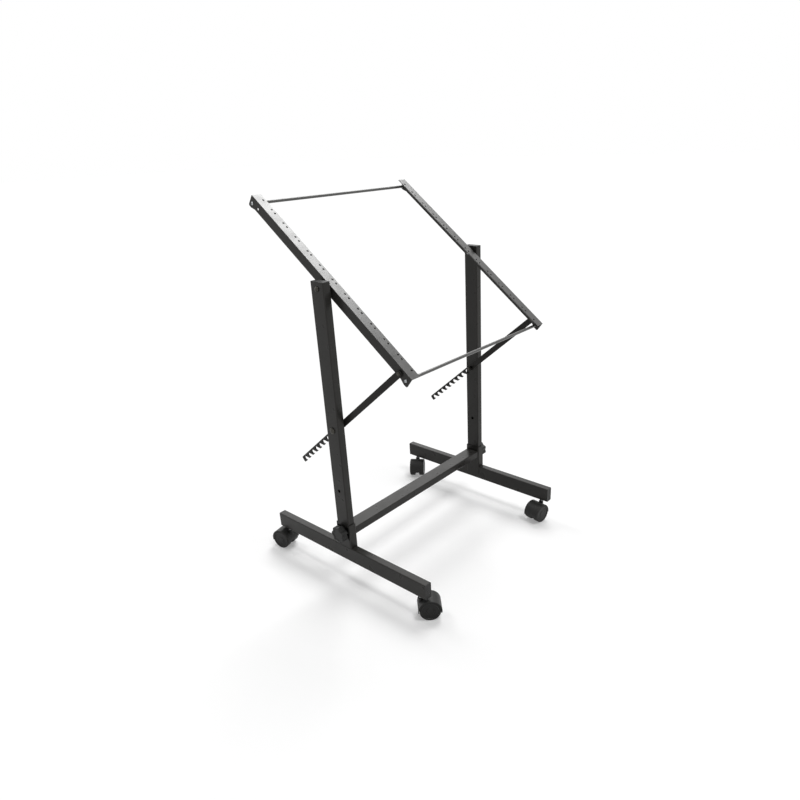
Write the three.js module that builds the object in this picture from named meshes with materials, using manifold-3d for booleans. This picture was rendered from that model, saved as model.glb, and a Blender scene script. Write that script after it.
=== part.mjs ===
// Studio rack stand: a tilting 19 inch rack frame between two uprights, on four twin-wheel casters.
// Millimetres. +Z is up, +X is the user's right, the user stands at -Y.
// The origin is on the floor, midway between the feet.
import * as THREE from 'three';
import { mergeVertices } from 'three/addons/utils/BufferGeometryUtils.js';
import Module from 'manifold-3d';

const wasm = await Module();
wasm.setup();

// Fits
const fitGap = 0.3;
const cutOverrun = 3;
const tubeWall = 1.5;

// Rack rails
const rackPitch = 44.45;
const rackPitchCount = 12;
const holeLineSpacing = 465.1;
const holeFromPitchEdge = 6.35;
const railHoleRadius = 2.4;
const holeFromOpening = 6.55;
const railFaceWidth = 24.5;
const railThickness = 2;
const railDepth = 22;
const railEndMargin = 13.3;
const rodFromRailEnd = 10;
const earDrop = 4;
const earCornerRadius = 3.5;
const earSlopeLength = 12;
const earHoleDepth = 15;
const pivotHoleDepth = 11;
const armRivetFromRod = 20;
const armRivetDepth = 14;
const restTilt = THREE.MathUtils.degToRad(37.2);

// Tie rods and their screws
const rodRadius = 3.5;
const rodThreadRadius = 2;
const rodThreadLength = 16;
const screwHeadRadius = 3.6;
const screwHeadHeight = 2.2;

// Support arms
const armThickness = 3;
const armWidth = 15;
const armTailCornerRadius = 3;
const armInnerGap = 1;
const armOuterGap = 1.5;
const notchCount = 10;
const notchPitch = 20.4;
const notchRadius = 4.7;
const notchSeatBelowCentre = 0.8;
const notchSlant = THREE.MathUtils.degToRad(46);
const armTailBeyondNotch = 13;
const rivetRadius = 2.5;
const rivetHeadRadius = 4.5;
const rivetHeadHeight = 2;
const rivetTailRadius = 4;
const rivetTailHeight = 2;

// Uprights
const uprightWidth = 20;
const uprightDepth = 40;
const uprightHeight = 652;
const tubeCornerRadius = 2;
const pivotBelowTop = 15;
const pinBelowPivot = 323;
const spareHoleAboveFoot = 156;
const lipCornerRadius = 14;
const lipScrewRadius = 2;
const lipScrewLength = 6;
const lipScrewHeadRadius = 3.8;
const lipScrewHeadHeight = 1.5;
const lipScrewAboveFoot = 19;
const lipScrewBehind = 5;

// Pivot bolts and support pins
const pivotRadius = 3;
const pivotHeadRadius = 5.75;
const pivotHeadHeight = 3.4;
const pivotSpacerRadius = 8;
const nutAcrossFlats = 10;
const nutHeight = 5;
const boltTailBeyondNut = 3;
const pinRadius = 4;
const pinHeadRadius = 8;
const pinHeadHeight = 3;

// Feet
const footWidth = 20;
const footHeight = 40;
const footLength = 520;
const capFlange = 2.5;
const capPlugDepth = 12;
const capPlugWall = 2;

// Foot brackets
const bracketPlate = 2;
const bracketHeight = 65;
const bracketSkirt = 25;

// Crossbar and clamp knobs
const crossbarDepth = 40;
const crossbarHeight = 20;
const clampAboveFoot = 42;
const endPlateThickness = 3;
const insertRadius = 7.5;
const insertLength = 10;
const clampScrewRadius = 4;
const clampScrewLength = 16;
const knobRadius = 20;
const knobLobe = 1.8;
const knobLobeCount = 7;
const knobPointsPerLobe = 6;
const knobThickness = 17;
const knobBevel = 2;
const knobHubRadius = 10;
const knobHubGap = 1;
const knobStandOff = 4;

// Casters
const casterInset = 25;
const wheelRadius = 25;
const wheelWidth = 15.5;
const wheelEdge = 1.5;
const wheelFaceRadius = 19;
const wheelFaceDepth = 1.2;
const wheelFaceThickness = 2.4;
const casterTrail = 20;
const hoodWebWidth = 13;
const hoodGap = 0.8;
const hoodShell = 2.2;
const hoodHubRadius = 9;
const hoodTopAboveWheel = 1.5;
const hoodNoseHeight = 21.5;
const hoodLipDegrees = 12;
const hoodNoseDegrees = 60;
const stemRadius = 4;
const stemShown = 8.5;
const stemDepthInHood = 19;
const stemFlangeRadius = 6.5;
const stemFlangeHeight = 1.5;
const stemAboveWall = 12;
const weldNutRadius = 7;
const weldNutHeight = 6.5;
const axleRadius = 2.5;
const casterSwivels = {
  front_left: 45,
  front_right: -98,
  rear_left: 192,
  rear_right: -55,
};

// Shares of a bolt head's radius at the edge and at the crown of its dome
const domeEdgeShare = 0.8;
const domeCrownShare = 0.4;

// Sides of a full circle, and steps of a small corner
const wheelSides = 20;
const boltSides = 12;
const nutSides = 6;
const holeSides = 10;
const railHoleSides = 8;
const lipCornerSteps = 3;
const earCornerSteps = 2;
const armEndSteps = 3;
const notchSteps = 4;
const hoodSteps = 8;
const cornerSteps = 1;

// Places that follow from the sizes
const openingWidth = holeLineSpacing - 2 * holeFromOpening;
const railOuter = openingWidth / 2 + railFaceWidth;
const railFlangeInner = railOuter - railThickness;
const armInner = railOuter + armInnerGap;
const armOuter = armInner + armThickness;
const uprightInner = armOuter + armOuterGap;
const uprightOuter = uprightInner + uprightWidth;
const uprightCentre = (uprightInner + uprightOuter) / 2;
const hoodTop = 2 * wheelRadius + hoodTopAboveWheel;
const casterHeight = hoodTop + stemShown;
const footTop = casterHeight + footHeight;
const uprightTop = footTop + uprightHeight;
const pivotHeight = uprightTop - pivotBelowTop;
const pinHeight = pivotHeight - pinBelowPivot;
const clampHeight = footTop + clampAboveFoot;
const bracketTop = footTop + bracketHeight;
const lipTop = clampHeight - knobHubRadius - knobHubGap;
const railHalf = (rackPitch * rackPitchCount) / 2 + railEndMargin;
const rodAlong = railHalf - rodFromRailEnd;
const armRivetAlong = rodAlong - armRivetFromRod;
const bracketInner = uprightInner - fitGap - bracketPlate;
const crossbarEnd = bracketInner - fitGap;
const wheelInner = hoodWebWidth / 2 + fitGap;
const wheelOuter = wheelInner + wheelWidth;
const hoodHalf = wheelOuter;
const stemLow = hoodTop - stemDepthInHood;

const blackPowderCoat = new THREE.MeshStandardMaterial({ color: 0x262625, roughness: 0.55, metalness: 0.2 });
const blackSteel = new THREE.MeshStandardMaterial({ color: 0x2e2e2d, roughness: 0.4, metalness: 0.6 });
const zincSteel = new THREE.MeshStandardMaterial({ color: 0x8d8f90, roughness: 0.35, metalness: 0.9 });
const blackPlastic = new THREE.MeshStandardMaterial({ color: 0x1b1b1b, roughness: 0.5, metalness: 0 });
const wheelPlastic = new THREE.MeshStandardMaterial({ color: 0x161616, roughness: 0.6, metalness: 0 });

const stand = new THREE.Group();

// Solids

function signedVolume(geometry) {
  const place = geometry.getAttribute('position');
  const index = geometry.index;
  const a = new THREE.Vector3();
  const b = new THREE.Vector3();
  const c = new THREE.Vector3();
  let volume = 0;
  for (let i = 0; i < index.count; i += 3) {
    a.fromBufferAttribute(place, index.getX(i));
    b.fromBufferAttribute(place, index.getX(i + 1));
    c.fromBufferAttribute(place, index.getX(i + 2));
    volume += a.dot(b.cross(c)) / 6;
  }
  return volume;
}

function welded(geometry) {
  const bare = geometry.clone();
  bare.deleteAttribute('normal');
  bare.deleteAttribute('uv');
  const merged = mergeVertices(bare);
  if (signedVolume(merged) < 0) {
    const flipped = merged.index.array;
    for (let i = 0; i < flipped.length; i += 3) {
      [flipped[i + 1], flipped[i + 2]] = [flipped[i + 2], flipped[i + 1]];
    }
  }
  return merged;
}

function solid(geometry) {
  const merged = welded(geometry);
  return new wasm.Manifold(new wasm.Mesh({
    numProp: 3,
    vertProperties: new Float32Array(merged.getAttribute('position').array),
    triVerts: new Uint32Array(merged.index.array),
  }));
}

function joined(geometries) {
  return geometries.map(solid).reduce((whole, piece) => whole.add(piece));
}

function cut(whole, cutters) {
  return cutters.map(solid).reduce((rest, cutter) => rest.subtract(cutter), whole);
}

function fromSolid(piece) {
  const { vertProperties, triVerts } = piece.getMesh();
  const geometry = new THREE.BufferGeometry();
  geometry.setAttribute('position', new THREE.BufferAttribute(vertProperties, 3));
  geometry.setIndex(new THREE.BufferAttribute(triVerts, 1));
  return geometry;
}

function add(parent, name, shape, material) {
  const geometry = shape instanceof THREE.BufferGeometry ? welded(shape) : fromSolid(shape);
  geometry.computeVertexNormals();
  const mesh = new THREE.Mesh(geometry, material);
  mesh.name = name;
  parent.add(mesh);
  return mesh;
}

// Basic shapes

function rectangle(centreX, centreY, width, height, radius = 0) {
  const left = centreX - width / 2;
  const right = centreX + width / 2;
  const low = centreY - height / 2;
  const high = centreY + height / 2;
  const shape = new THREE.Shape();
  if (radius === 0) {
    shape.moveTo(left, low);
    shape.lineTo(right, low);
    shape.lineTo(right, high);
    shape.lineTo(left, high);
    return shape;
  }
  shape.absarc(right - radius, low + radius, radius, -Math.PI / 2, 0);
  shape.absarc(right - radius, high - radius, radius, 0, Math.PI / 2);
  shape.absarc(left + radius, high - radius, radius, Math.PI / 2, Math.PI);
  shape.absarc(left + radius, low + radius, radius, Math.PI, Math.PI * 1.5);
  return shape;
}

// The corners of a regular polygon round a point.
function cornersOf(x, y, radius, sides) {
  const points = [];
  for (let i = 0; i < sides; i += 1) {
    const angle = (2 * Math.PI * i) / sides;
    points.push(new THREE.Vector2(x + radius * Math.cos(angle), y + radius * Math.sin(angle)));
  }
  return points;
}

function roundHole(x, y, radius, sides = holeSides) {
  return new THREE.Path(cornersOf(x, y, radius, sides).reverse());
}

// A nut or a spacer: a regular polygon with a round hole.
function holedPolygon(radius, sides, holeRadius) {
  const shape = new THREE.Shape(cornersOf(0, 0, radius, sides));
  shape.holes.push(roundHole(0, 0, holeRadius));
  return shape;
}

function extruded(shape, depth, steps = cornerSteps) {
  return new THREE.ExtrudeGeometry(shape, { depth, bevelEnabled: false, curveSegments: steps });
}

// A shape drawn in Y and Z, as thick as the stretch from one X to another.
function alongX(shape, from, to, steps = cornerSteps) {
  const turn = new THREE.Matrix4().set(0, 0, 1, from, 1, 0, 0, 0, 0, 1, 0, 0, 0, 0, 0, 1);
  return extruded(shape, to - from, steps).applyMatrix4(turn);
}

// A shape drawn in X and Z, as long as the stretch from one Y to another.
function alongY(shape, from, to) {
  const turn = new THREE.Matrix4().set(1, 0, 0, 0, 0, 0, -1, to, 0, 1, 0, 0, 0, 0, 0, 1);
  return extruded(shape, to - from).applyMatrix4(turn);
}

function alongZ(shape, from, to) {
  return extruded(shape, to - from).translate(0, 0, from);
}

function block(x, y, z) {
  return new THREE.BoxGeometry(x[1] - x[0], y[1] - y[0], z[1] - z[0])
    .translate((x[0] + x[1]) / 2, (y[0] + y[1]) / 2, (z[0] + z[1]) / 2);
}

function barAlongX(radius, from, to, y, z, sides = boltSides) {
  return new THREE.CylinderGeometry(radius, radius, to - from, sides)
    .rotateZ(-Math.PI / 2)
    .translate((from + to) / 2, y, z);
}

function barAlongZ(radius, from, to, x, y) {
  return new THREE.CylinderGeometry(radius, radius, to - from, boltSides)
    .rotateX(Math.PI / 2)
    .translate(x, y, (from + to) / 2);
}

// The stretch of X from near to far on one side of the middle.
function span(side, near, far) {
  return side > 0 ? [near, far] : [-far, -near];
}

// A turned piece whose axis points outwards along X, from points of radius and distance.
function turned(side, profile, sides = boltSides) {
  const points = profile.map(([radius, along]) => new THREE.Vector2(radius, along));
  return new THREE.LatheGeometry(points, sides).rotateZ((-side * Math.PI) / 2);
}

// A bolt whose domed head lies against a face at seat, and whose shank runs inwards to tip.
function domedBolt(side, seat, tip, shankRadius, headRadius, headHeight) {
  const shoulder = headHeight / 3;
  return turned(side, [
    [0, tip],
    [shankRadius, tip],
    [shankRadius, seat],
    [headRadius, seat],
    [headRadius, seat + shoulder],
    [headRadius * domeEdgeShare, seat + headHeight - shoulder],
    [headRadius * domeCrownShare, seat + headHeight],
    [0, seat + headHeight],
  ]);
}

// Feet

function makeFoot(side, sideName) {
  const centre = side * uprightCentre;
  const middle = casterHeight + footHeight / 2;
  const outline = rectangle(centre, middle, footWidth, footHeight, tubeCornerRadius);
  outline.holes.push(rectangle(centre, middle, footWidth - 2 * tubeWall, footHeight - 2 * tubeWall));
  const half = footLength / 2 - capFlange;
  const floorOfTube = casterHeight + tubeWall;
  const stems = [-1, 1].map((end) => end * (footLength / 2 - casterInset));
  const parts = [alongY(outline, -half, half)];
  for (const y of stems) {
    parts.push(barAlongZ(weldNutRadius, casterHeight + tubeWall / 2, floorOfTube + weldNutHeight, centre, y));
  }
  const holes = stems.map((y) => barAlongZ(
    stemRadius + fitGap, casterHeight - cutOverrun, floorOfTube + weldNutHeight + cutOverrun, centre, y));
  add(stand, `foot_${sideName}`, cut(joined(parts), holes), blackPowderCoat);
  for (const [end, endName] of [[-1, 'front'], [1, 'rear']]) {
    makeFootCap(centre, middle, end, `foot_cap_${endName}_${sideName}`);
  }
}

function makeFootCap(centre, middle, end, name) {
  const edge = footLength / 2;
  const inside = edge - capFlange;
  const plugEnd = inside - capPlugDepth;
  const plugWidth = footWidth - 2 * (tubeWall + fitGap);
  const plugHeight = footHeight - 2 * (tubeWall + fitGap);
  const stretch = (from, to) => (end > 0 ? [from, to] : [-to, -from]);
  const outline = rectangle(centre, middle, footWidth, footHeight, tubeCornerRadius);
  const flange = alongY(outline, ...stretch(inside, edge));
  const plugOutline = rectangle(centre, middle, plugWidth, plugHeight);
  const plug = alongY(plugOutline, ...stretch(plugEnd, edge - capFlange / 2));
  const hollow = alongY(
    rectangle(centre, middle, plugWidth - 2 * capPlugWall, plugHeight - 2 * capPlugWall),
    ...stretch(plugEnd - cutOverrun, inside));
  add(stand, name, cut(joined([flange, plug]), [hollow]), blackPlastic);
}

// Uprights

function makeUpright(side, sideName) {
  const centre = side * uprightCentre;
  const outline = rectangle(centre, 0, uprightWidth, uprightDepth, tubeCornerRadius);
  outline.holes.push(rectangle(centre, 0, uprightWidth - 2 * tubeWall, uprightDepth - 2 * tubeWall));
  const tube = solid(alongZ(outline, footTop, uprightTop - capFlange));
  const through = span(side, uprightInner - cutOverrun, uprightOuter + cutOverrun);
  const innerWall = span(side, uprightInner - cutOverrun, uprightInner + tubeWall + cutOverrun);
  const outerWall = span(side, uprightOuter - tubeWall - cutOverrun / 2, uprightOuter + cutOverrun);
  const holes = [
    barAlongX(pivotRadius + fitGap, ...through, 0, pivotHeight),
    barAlongX(pinRadius + fitGap, ...through, 0, pinHeight),
    barAlongX(pinRadius + fitGap, ...through, 0, footTop + spareHoleAboveFoot),
    barAlongX(clampScrewRadius + fitGap, ...innerWall, 0, clampHeight),
    alongX(knobWindow(), ...outerWall, lipCornerSteps),
    barAlongX(lipScrewRadius + fitGap, ...outerWall, lipScrewBehind, footTop + lipScrewAboveFoot),
  ];
  add(stand, `upright_${sideName}`, cut(tube, holes), blackPowderCoat);
  makeUprightCap(centre, `upright_cap_${sideName}`);
  const seat = uprightOuter + fitGap;
  const screw = domedBolt(
    side, seat, seat - lipScrewLength, lipScrewRadius, lipScrewHeadRadius, lipScrewHeadHeight);
  screw.translate(0, lipScrewBehind, footTop + lipScrewAboveFoot);
  add(stand, `lip_screw_${sideName}`, screw, blackSteel);
}

// The opening in the outer wall that the knob's hub goes through, above a lip with rounded corners.
function knobWindow() {
  const half = uprightDepth / 2 - tubeWall;
  const cornerHeight = lipTop - lipCornerRadius;
  const shape = new THREE.Shape();
  shape.moveTo(-half, bracketTop);
  shape.lineTo(-half, cornerHeight);
  shape.absarc(-half + lipCornerRadius, cornerHeight, lipCornerRadius, Math.PI, Math.PI / 2, true);
  shape.absarc(half - lipCornerRadius, cornerHeight, lipCornerRadius, Math.PI / 2, 0, true);
  shape.lineTo(half, bracketTop);
  return shape;
}

function makeUprightCap(centre, name) {
  const seat = uprightTop - capFlange;
  const plugWidth = uprightWidth - 2 * (tubeWall + fitGap);
  const plugDepth = uprightDepth - 2 * (tubeWall + fitGap);
  const flange = alongZ(rectangle(centre, 0, uprightWidth, uprightDepth, tubeCornerRadius), seat, uprightTop);
  const plug = alongZ(
    rectangle(centre, 0, plugWidth, plugDepth),
    pivotHeight + pivotRadius + 2 * fitGap, uprightTop - capFlange / 2);
  const hollow = alongZ(
    rectangle(centre, 0, plugWidth - 2 * capPlugWall, plugDepth - 2 * capPlugWall),
    pivotHeight, seat);
  add(stand, name, cut(joined([flange, plug]), [hollow]), blackPlastic);
}

// A folded plate that wraps the foot of the upright on three sides and runs down the inside of the foot.
function makeBracket(side, sideName) {
  const backX = span(side, bracketInner, bracketInner + bracketPlate);
  const flangeX = span(side, bracketInner + bracketPlate / 2, uprightOuter);
  const inner = uprightDepth / 2 + fitGap;
  const outer = inner + bracketPlate;
  const parts = [
    block(backX, [-outer, outer], [footTop - bracketSkirt, bracketTop]),
    block(flangeX, [-outer, -inner], [footTop, bracketTop]),
    block(flangeX, [inner, outer], [footTop, bracketTop]),
  ];
  const hole = barAlongX(
    clampScrewRadius + fitGap,
    ...span(side, bracketInner - cutOverrun, uprightInner + cutOverrun), 0, clampHeight);
  add(stand, `foot_bracket_${sideName}`, cut(joined(parts), [hole]), blackPowderCoat);
}

// Pivot bolts, support pins and clamp knobs

function makePivot(side, sideName) {
  const nutOuter = railFlangeInner - fitGap;
  const nutInner = nutOuter - nutHeight;
  const bolt = domedBolt(
    side, uprightOuter + fitGap, nutInner - boltTailBeyondNut, pivotRadius, pivotHeadRadius, pivotHeadHeight);
  add(stand, `pivot_bolt_${sideName}`, bolt.translate(0, 0, pivotHeight), blackSteel);
  const spacer = alongX(
    holedPolygon(pivotSpacerRadius, boltSides, pivotRadius + fitGap),
    ...span(side, railOuter + fitGap, uprightInner - fitGap));
  add(stand, `pivot_spacer_${sideName}`, spacer.translate(0, 0, pivotHeight), blackPlastic);
  const nutCorner = nutAcrossFlats / 2 / Math.cos(Math.PI / nutSides);
  const nut = alongX(
    holedPolygon(nutCorner, nutSides, pivotRadius + fitGap),
    ...span(side, nutInner, nutOuter));
  add(stand, `pivot_nut_${sideName}`, nut.translate(0, 0, pivotHeight), zincSteel);
}

function makePin(side, sideName) {
  const pin = domedBolt(
    side, uprightOuter + fitGap, armOuter + fitGap, pinRadius, pinHeadRadius, pinHeadHeight);
  add(stand, `support_pin_${sideName}`, pin.translate(0, 0, pinHeight), blackSteel);
}

function knobOutline() {
  const points = [];
  const count = knobLobeCount * knobPointsPerLobe;
  for (let i = 0; i < count; i += 1) {
    const angle = (2 * Math.PI * i) / count;
    const radius = knobRadius - knobBevel + knobLobe * Math.cos(knobLobeCount * angle);
    points.push(new THREE.Vector2(radius * Math.cos(angle), radius * Math.sin(angle)));
  }
  return new THREE.Shape(points);
}

function makeKnob(side, sideName) {
  const back = uprightOuter + knobStandOff;
  const front = back + knobThickness;
  const hubInner = uprightInner + tubeWall + fitGap;
  const head = new THREE.ExtrudeGeometry(knobOutline(), {
    depth: knobThickness - 2 * knobBevel,
    bevelThickness: knobBevel,
    bevelSize: knobBevel,
    bevelSegments: 1,
  });
  head.translate(0, 0, back + knobBevel).rotateY((side * Math.PI) / 2);
  const hub = barAlongX(knobHubRadius, ...span(side, hubInner, front - knobBevel), 0, 0);
  const screw = barAlongX(clampScrewRadius, ...span(side, hubInner - clampScrewLength, back), 0, 0);
  const knob = fromSolid(joined([head, hub, screw]));
  add(stand, `clamp_knob_${sideName}`, knob.translate(0, 0, clampHeight), blackPlastic);
}

// Crossbar

function makeCrossbar() {
  const half = crossbarEnd - endPlateThickness;
  const outline = rectangle(0, clampHeight, crossbarDepth, crossbarHeight, tubeCornerRadius);
  outline.holes.push(rectangle(0, clampHeight, crossbarDepth - 2 * tubeWall, crossbarHeight - 2 * tubeWall));
  add(stand, 'crossbar', alongX(outline, -half, half), blackPowderCoat);
}

// The end plate of the crossbar with the threaded insert that the knob's screw draws on.
function makeCrossbarEnd(side, sideName) {
  const plateInner = crossbarEnd - endPlateThickness;
  const plate = alongX(
    rectangle(0, clampHeight, crossbarDepth, crossbarHeight, tubeCornerRadius),
    ...span(side, plateInner, crossbarEnd));
  const insert = barAlongX(
    insertRadius,
    ...span(side, plateInner - insertLength, plateInner + endPlateThickness / 2), 0, clampHeight);
  const bore = barAlongX(
    clampScrewRadius + fitGap,
    ...span(side, plateInner - insertLength - cutOverrun, crossbarEnd + cutOverrun), 0, clampHeight);
  add(stand, `crossbar_end_${sideName}`, cut(joined([plate, insert]), [bore]), blackPowderCoat);
}

// Rack frame, drawn flat with the pivot axis at its origin and its face up, then tilted

const rackFrame = new THREE.Group();
rackFrame.position.z = pivotHeight;
rackFrame.rotation.x = restTilt;
stand.add(rackFrame);

const faceLevel = pivotHoleDepth;
const rodLevel = faceLevel - earHoleDepth;
const rivetLevel = faceLevel - armRivetDepth;

// The side flange: straight, with an ear at each end that hangs below its edge.
function railFlangeOutline() {
  const low = faceLevel - railDepth;
  const earLow = low - earDrop;
  const cornerAlong = railHalf - earCornerRadius;
  const cornerLevel = earLow + earCornerRadius;
  const shape = new THREE.Shape();
  shape.absarc(-cornerAlong, cornerLevel, earCornerRadius, Math.PI, 1.5 * Math.PI);
  shape.lineTo(-rodAlong, earLow);
  shape.lineTo(-rodAlong + earSlopeLength, low);
  shape.lineTo(rodAlong - earSlopeLength, low);
  shape.lineTo(rodAlong, earLow);
  shape.absarc(cornerAlong, cornerLevel, earCornerRadius, 1.5 * Math.PI, 2 * Math.PI);
  shape.lineTo(railHalf, faceLevel);
  shape.lineTo(-railHalf, faceLevel);
  shape.holes.push(roundHole(-rodAlong, rodLevel, rodThreadRadius + fitGap));
  shape.holes.push(roundHole(rodAlong, rodLevel, rodThreadRadius + fitGap));
  shape.holes.push(roundHole(-armRivetAlong, rivetLevel, rivetRadius + fitGap));
  shape.holes.push(roundHole(armRivetAlong, rivetLevel, rivetRadius + fitGap));
  shape.holes.push(roundHole(0, 0, pivotRadius + fitGap));
  return shape;
}

function makeRail(side, sideName) {
  const faceX = span(side, openingWidth / 2, railOuter);
  const face = rectangle((faceX[0] + faceX[1]) / 2, 0, railFaceWidth, 2 * railHalf);
  const firstEdge = (-rackPitch * rackPitchCount) / 2;
  for (let unit = 0; unit < rackPitchCount; unit += 1) {
    const edge = firstEdge + unit * rackPitch;
    for (const y of [edge + holeFromPitchEdge, edge + rackPitch - holeFromPitchEdge]) {
      face.holes.push(roundHole((side * holeLineSpacing) / 2, y, railHoleRadius, railHoleSides));
    }
  }
  const rail = joined([
    alongZ(face, faceLevel - railThickness, faceLevel),
    alongX(railFlangeOutline(), ...span(side, railFlangeInner, railOuter), earCornerSteps),
  ]);
  add(rackFrame, `rail_${sideName}`, rail, blackPowderCoat);
}

function makeTieRod(y, name) {
  const half = railFlangeInner - fitGap;
  const rod = solid(barAlongX(rodRadius, -half, half, y, rodLevel));
  const bores = [-1, 1].map((side) => barAlongX(
    rodThreadRadius + fitGap, ...span(side, half - rodThreadLength, half + cutOverrun), y, rodLevel));
  add(rackFrame, name, cut(rod, bores), blackPowderCoat);
}

function makeRodScrew(side, y, name) {
  const tip = railFlangeInner - rodThreadLength + 2 * fitGap;
  const screw = domedBolt(side, railOuter + fitGap, tip, rodThreadRadius, screwHeadRadius, screwHeadHeight);
  add(rackFrame, name, screw.translate(0, y, rodLevel), zincSteel);
}

// Support arms, drawn along +Y from the rivet, then turned so that a notch lies over the pin

const rivetFromPivot = Math.hypot(armRivetAlong, rivetLevel);
const rivetAngle = Math.atan2(rivetLevel, -armRivetAlong) + restTilt;
const rivetY = rivetFromPivot * Math.cos(rivetAngle);
const rivetZ = rivetFromPivot * Math.sin(rivetAngle);
const pinDistance = Math.hypot(rivetY, rivetZ + pinBelowPivot);
const pinDirection = Math.atan2(-pinBelowPivot - rivetZ, -rivetY);
const firstNotch = Math.sqrt(pinDistance ** 2 - notchSeatBelowCentre ** 2);
const armDirection = pinDirection + Math.asin(notchSeatBelowCentre / pinDistance);
const armLength = firstNotch + (notchCount - 1) * notchPitch + armTailBeyondNotch;

// A bar with a round end at the rivet and two small corners at its tail.
function armOutline() {
  const half = armWidth / 2;
  const cornerAlong = armLength - armTailCornerRadius;
  const cornerLevel = half - armTailCornerRadius;
  const shape = new THREE.Shape();
  shape.absarc(cornerAlong, -cornerLevel, armTailCornerRadius, -Math.PI / 2, 0);
  shape.absarc(cornerAlong, cornerLevel, armTailCornerRadius, 0, Math.PI / 2);
  shape.absarc(0, 0, half, Math.PI / 2, 1.5 * Math.PI);
  return shape;
}

// A slot that starts at the pin's seat and leaves through the arm's lower edge, towards the rivet.
function notchOutline(along) {
  const slotLength = armWidth + notchRadius;
  const out = Math.PI + notchSlant;
  const shape = new THREE.Shape();
  shape.absarc(along, -notchSeatBelowCentre, notchRadius, out + Math.PI / 2, out - Math.PI / 2 + 2 * Math.PI);
  const endY = along + slotLength * Math.cos(out);
  const endZ = -notchSeatBelowCentre + slotLength * Math.sin(out);
  const acrossY = notchRadius * Math.sin(out);
  const acrossZ = notchRadius * Math.cos(out);
  shape.lineTo(endY + acrossY, endZ - acrossZ);
  shape.lineTo(endY - acrossY, endZ + acrossZ);
  return shape;
}

function makeArm(side, sideName) {
  const mount = new THREE.Group();
  mount.position.set(0, -armRivetAlong, rivetLevel);
  mount.rotation.x = armDirection - restTilt;
  rackFrame.add(mount);
  const arm = solid(alongX(armOutline(), ...span(side, armInner, armOuter), armEndSteps));
  const cutX = span(side, armInner - cutOverrun, armOuter + cutOverrun);
  const cutters = [barAlongX(rivetRadius + fitGap, ...cutX, 0, 0)];
  for (let i = 0; i < notchCount; i += 1) {
    cutters.push(alongX(notchOutline(firstNotch + i * notchPitch), ...cutX, notchSteps));
  }
  add(mount, `support_arm_${sideName}`, cut(arm, cutters), blackPowderCoat);
  const seat = armOuter + fitGap;
  const tail = railFlangeInner - fitGap;
  const rivet = turned(side, [
    [0, tail - rivetTailHeight],
    [rivetTailRadius, tail - rivetTailHeight],
    [rivetTailRadius, tail],
    [rivetRadius, tail],
    [rivetRadius, seat],
    [rivetHeadRadius, seat],
    [rivetHeadRadius, seat + rivetHeadHeight / 2],
    [rivetHeadRadius / 2, seat + rivetHeadHeight],
    [0, seat + rivetHeadHeight],
  ]);
  add(mount, `arm_rivet_${sideName}`, rivet, blackSteel);
}

// Casters, drawn with the stem at the origin and the wheels towards -Y, then swivelled

function hoodSector(from, to) {
  const inner = wheelRadius + hoodGap;
  const outer = inner + hoodShell;
  const shape = new THREE.Shape();
  shape.absarc(-casterTrail, wheelRadius, outer, from, to);
  shape.absarc(-casterTrail, wheelRadius, inner, to, from, true);
  return shape;
}

function hoodWeb() {
  const outer = wheelRadius + hoodGap + hoodShell;
  const nose = hoodWebWidth / 2;
  const lip = THREE.MathUtils.degToRad(180 + hoodLipDegrees);
  const shape = new THREE.Shape();
  shape.moveTo(nose, hoodTop - hoodNoseHeight);
  shape.lineTo(nose, hoodTop);
  shape.lineTo(-nose, hoodTop);
  shape.absarc(-casterTrail, wheelRadius, outer, THREE.MathUtils.degToRad(hoodNoseDegrees), lip);
  shape.lineTo(-casterTrail - hoodHubRadius, wheelRadius - hoodHubRadius);
  shape.lineTo(-casterTrail + hoodHubRadius, wheelRadius - hoodHubRadius);
  return shape;
}

function makeHood(parent, name) {
  const lip = THREE.MathUtils.degToRad(hoodLipDegrees);
  const web = hoodWebWidth / 2;
  const body = joined([
    alongX(hoodSector(-lip / 2, Math.PI + lip), -hoodHalf, hoodHalf, hoodSteps),
    alongX(hoodWeb(), -web, web, hoodSteps),
  ]);
  const cutters = [
    barAlongZ(stemRadius + fitGap, stemLow - fitGap, hoodTop + cutOverrun, 0, 0),
    barAlongX(axleRadius + fitGap, -hoodHalf, hoodHalf, -casterTrail, wheelRadius),
  ];
  add(parent, name, cut(body, cutters), blackPlastic);
}

function makeWheel(parent, side, name) {
  const boreEnd = wheelOuter - wheelFaceDepth - wheelFaceThickness;
  const wheel = turned(side, [
    [0, boreEnd],
    [axleRadius + fitGap, boreEnd],
    [axleRadius + fitGap, wheelInner],
    [wheelRadius, wheelInner],
    [wheelRadius, wheelOuter - wheelEdge],
    [wheelRadius - wheelEdge, wheelOuter],
    [wheelFaceRadius + wheelFaceDepth, wheelOuter],
    [wheelFaceRadius, wheelOuter - wheelFaceDepth],
    [0, wheelOuter - wheelFaceDepth],
  ], wheelSides);
  add(parent, name, wheel.translate(0, -casterTrail, wheelRadius), wheelPlastic);
}

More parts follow.
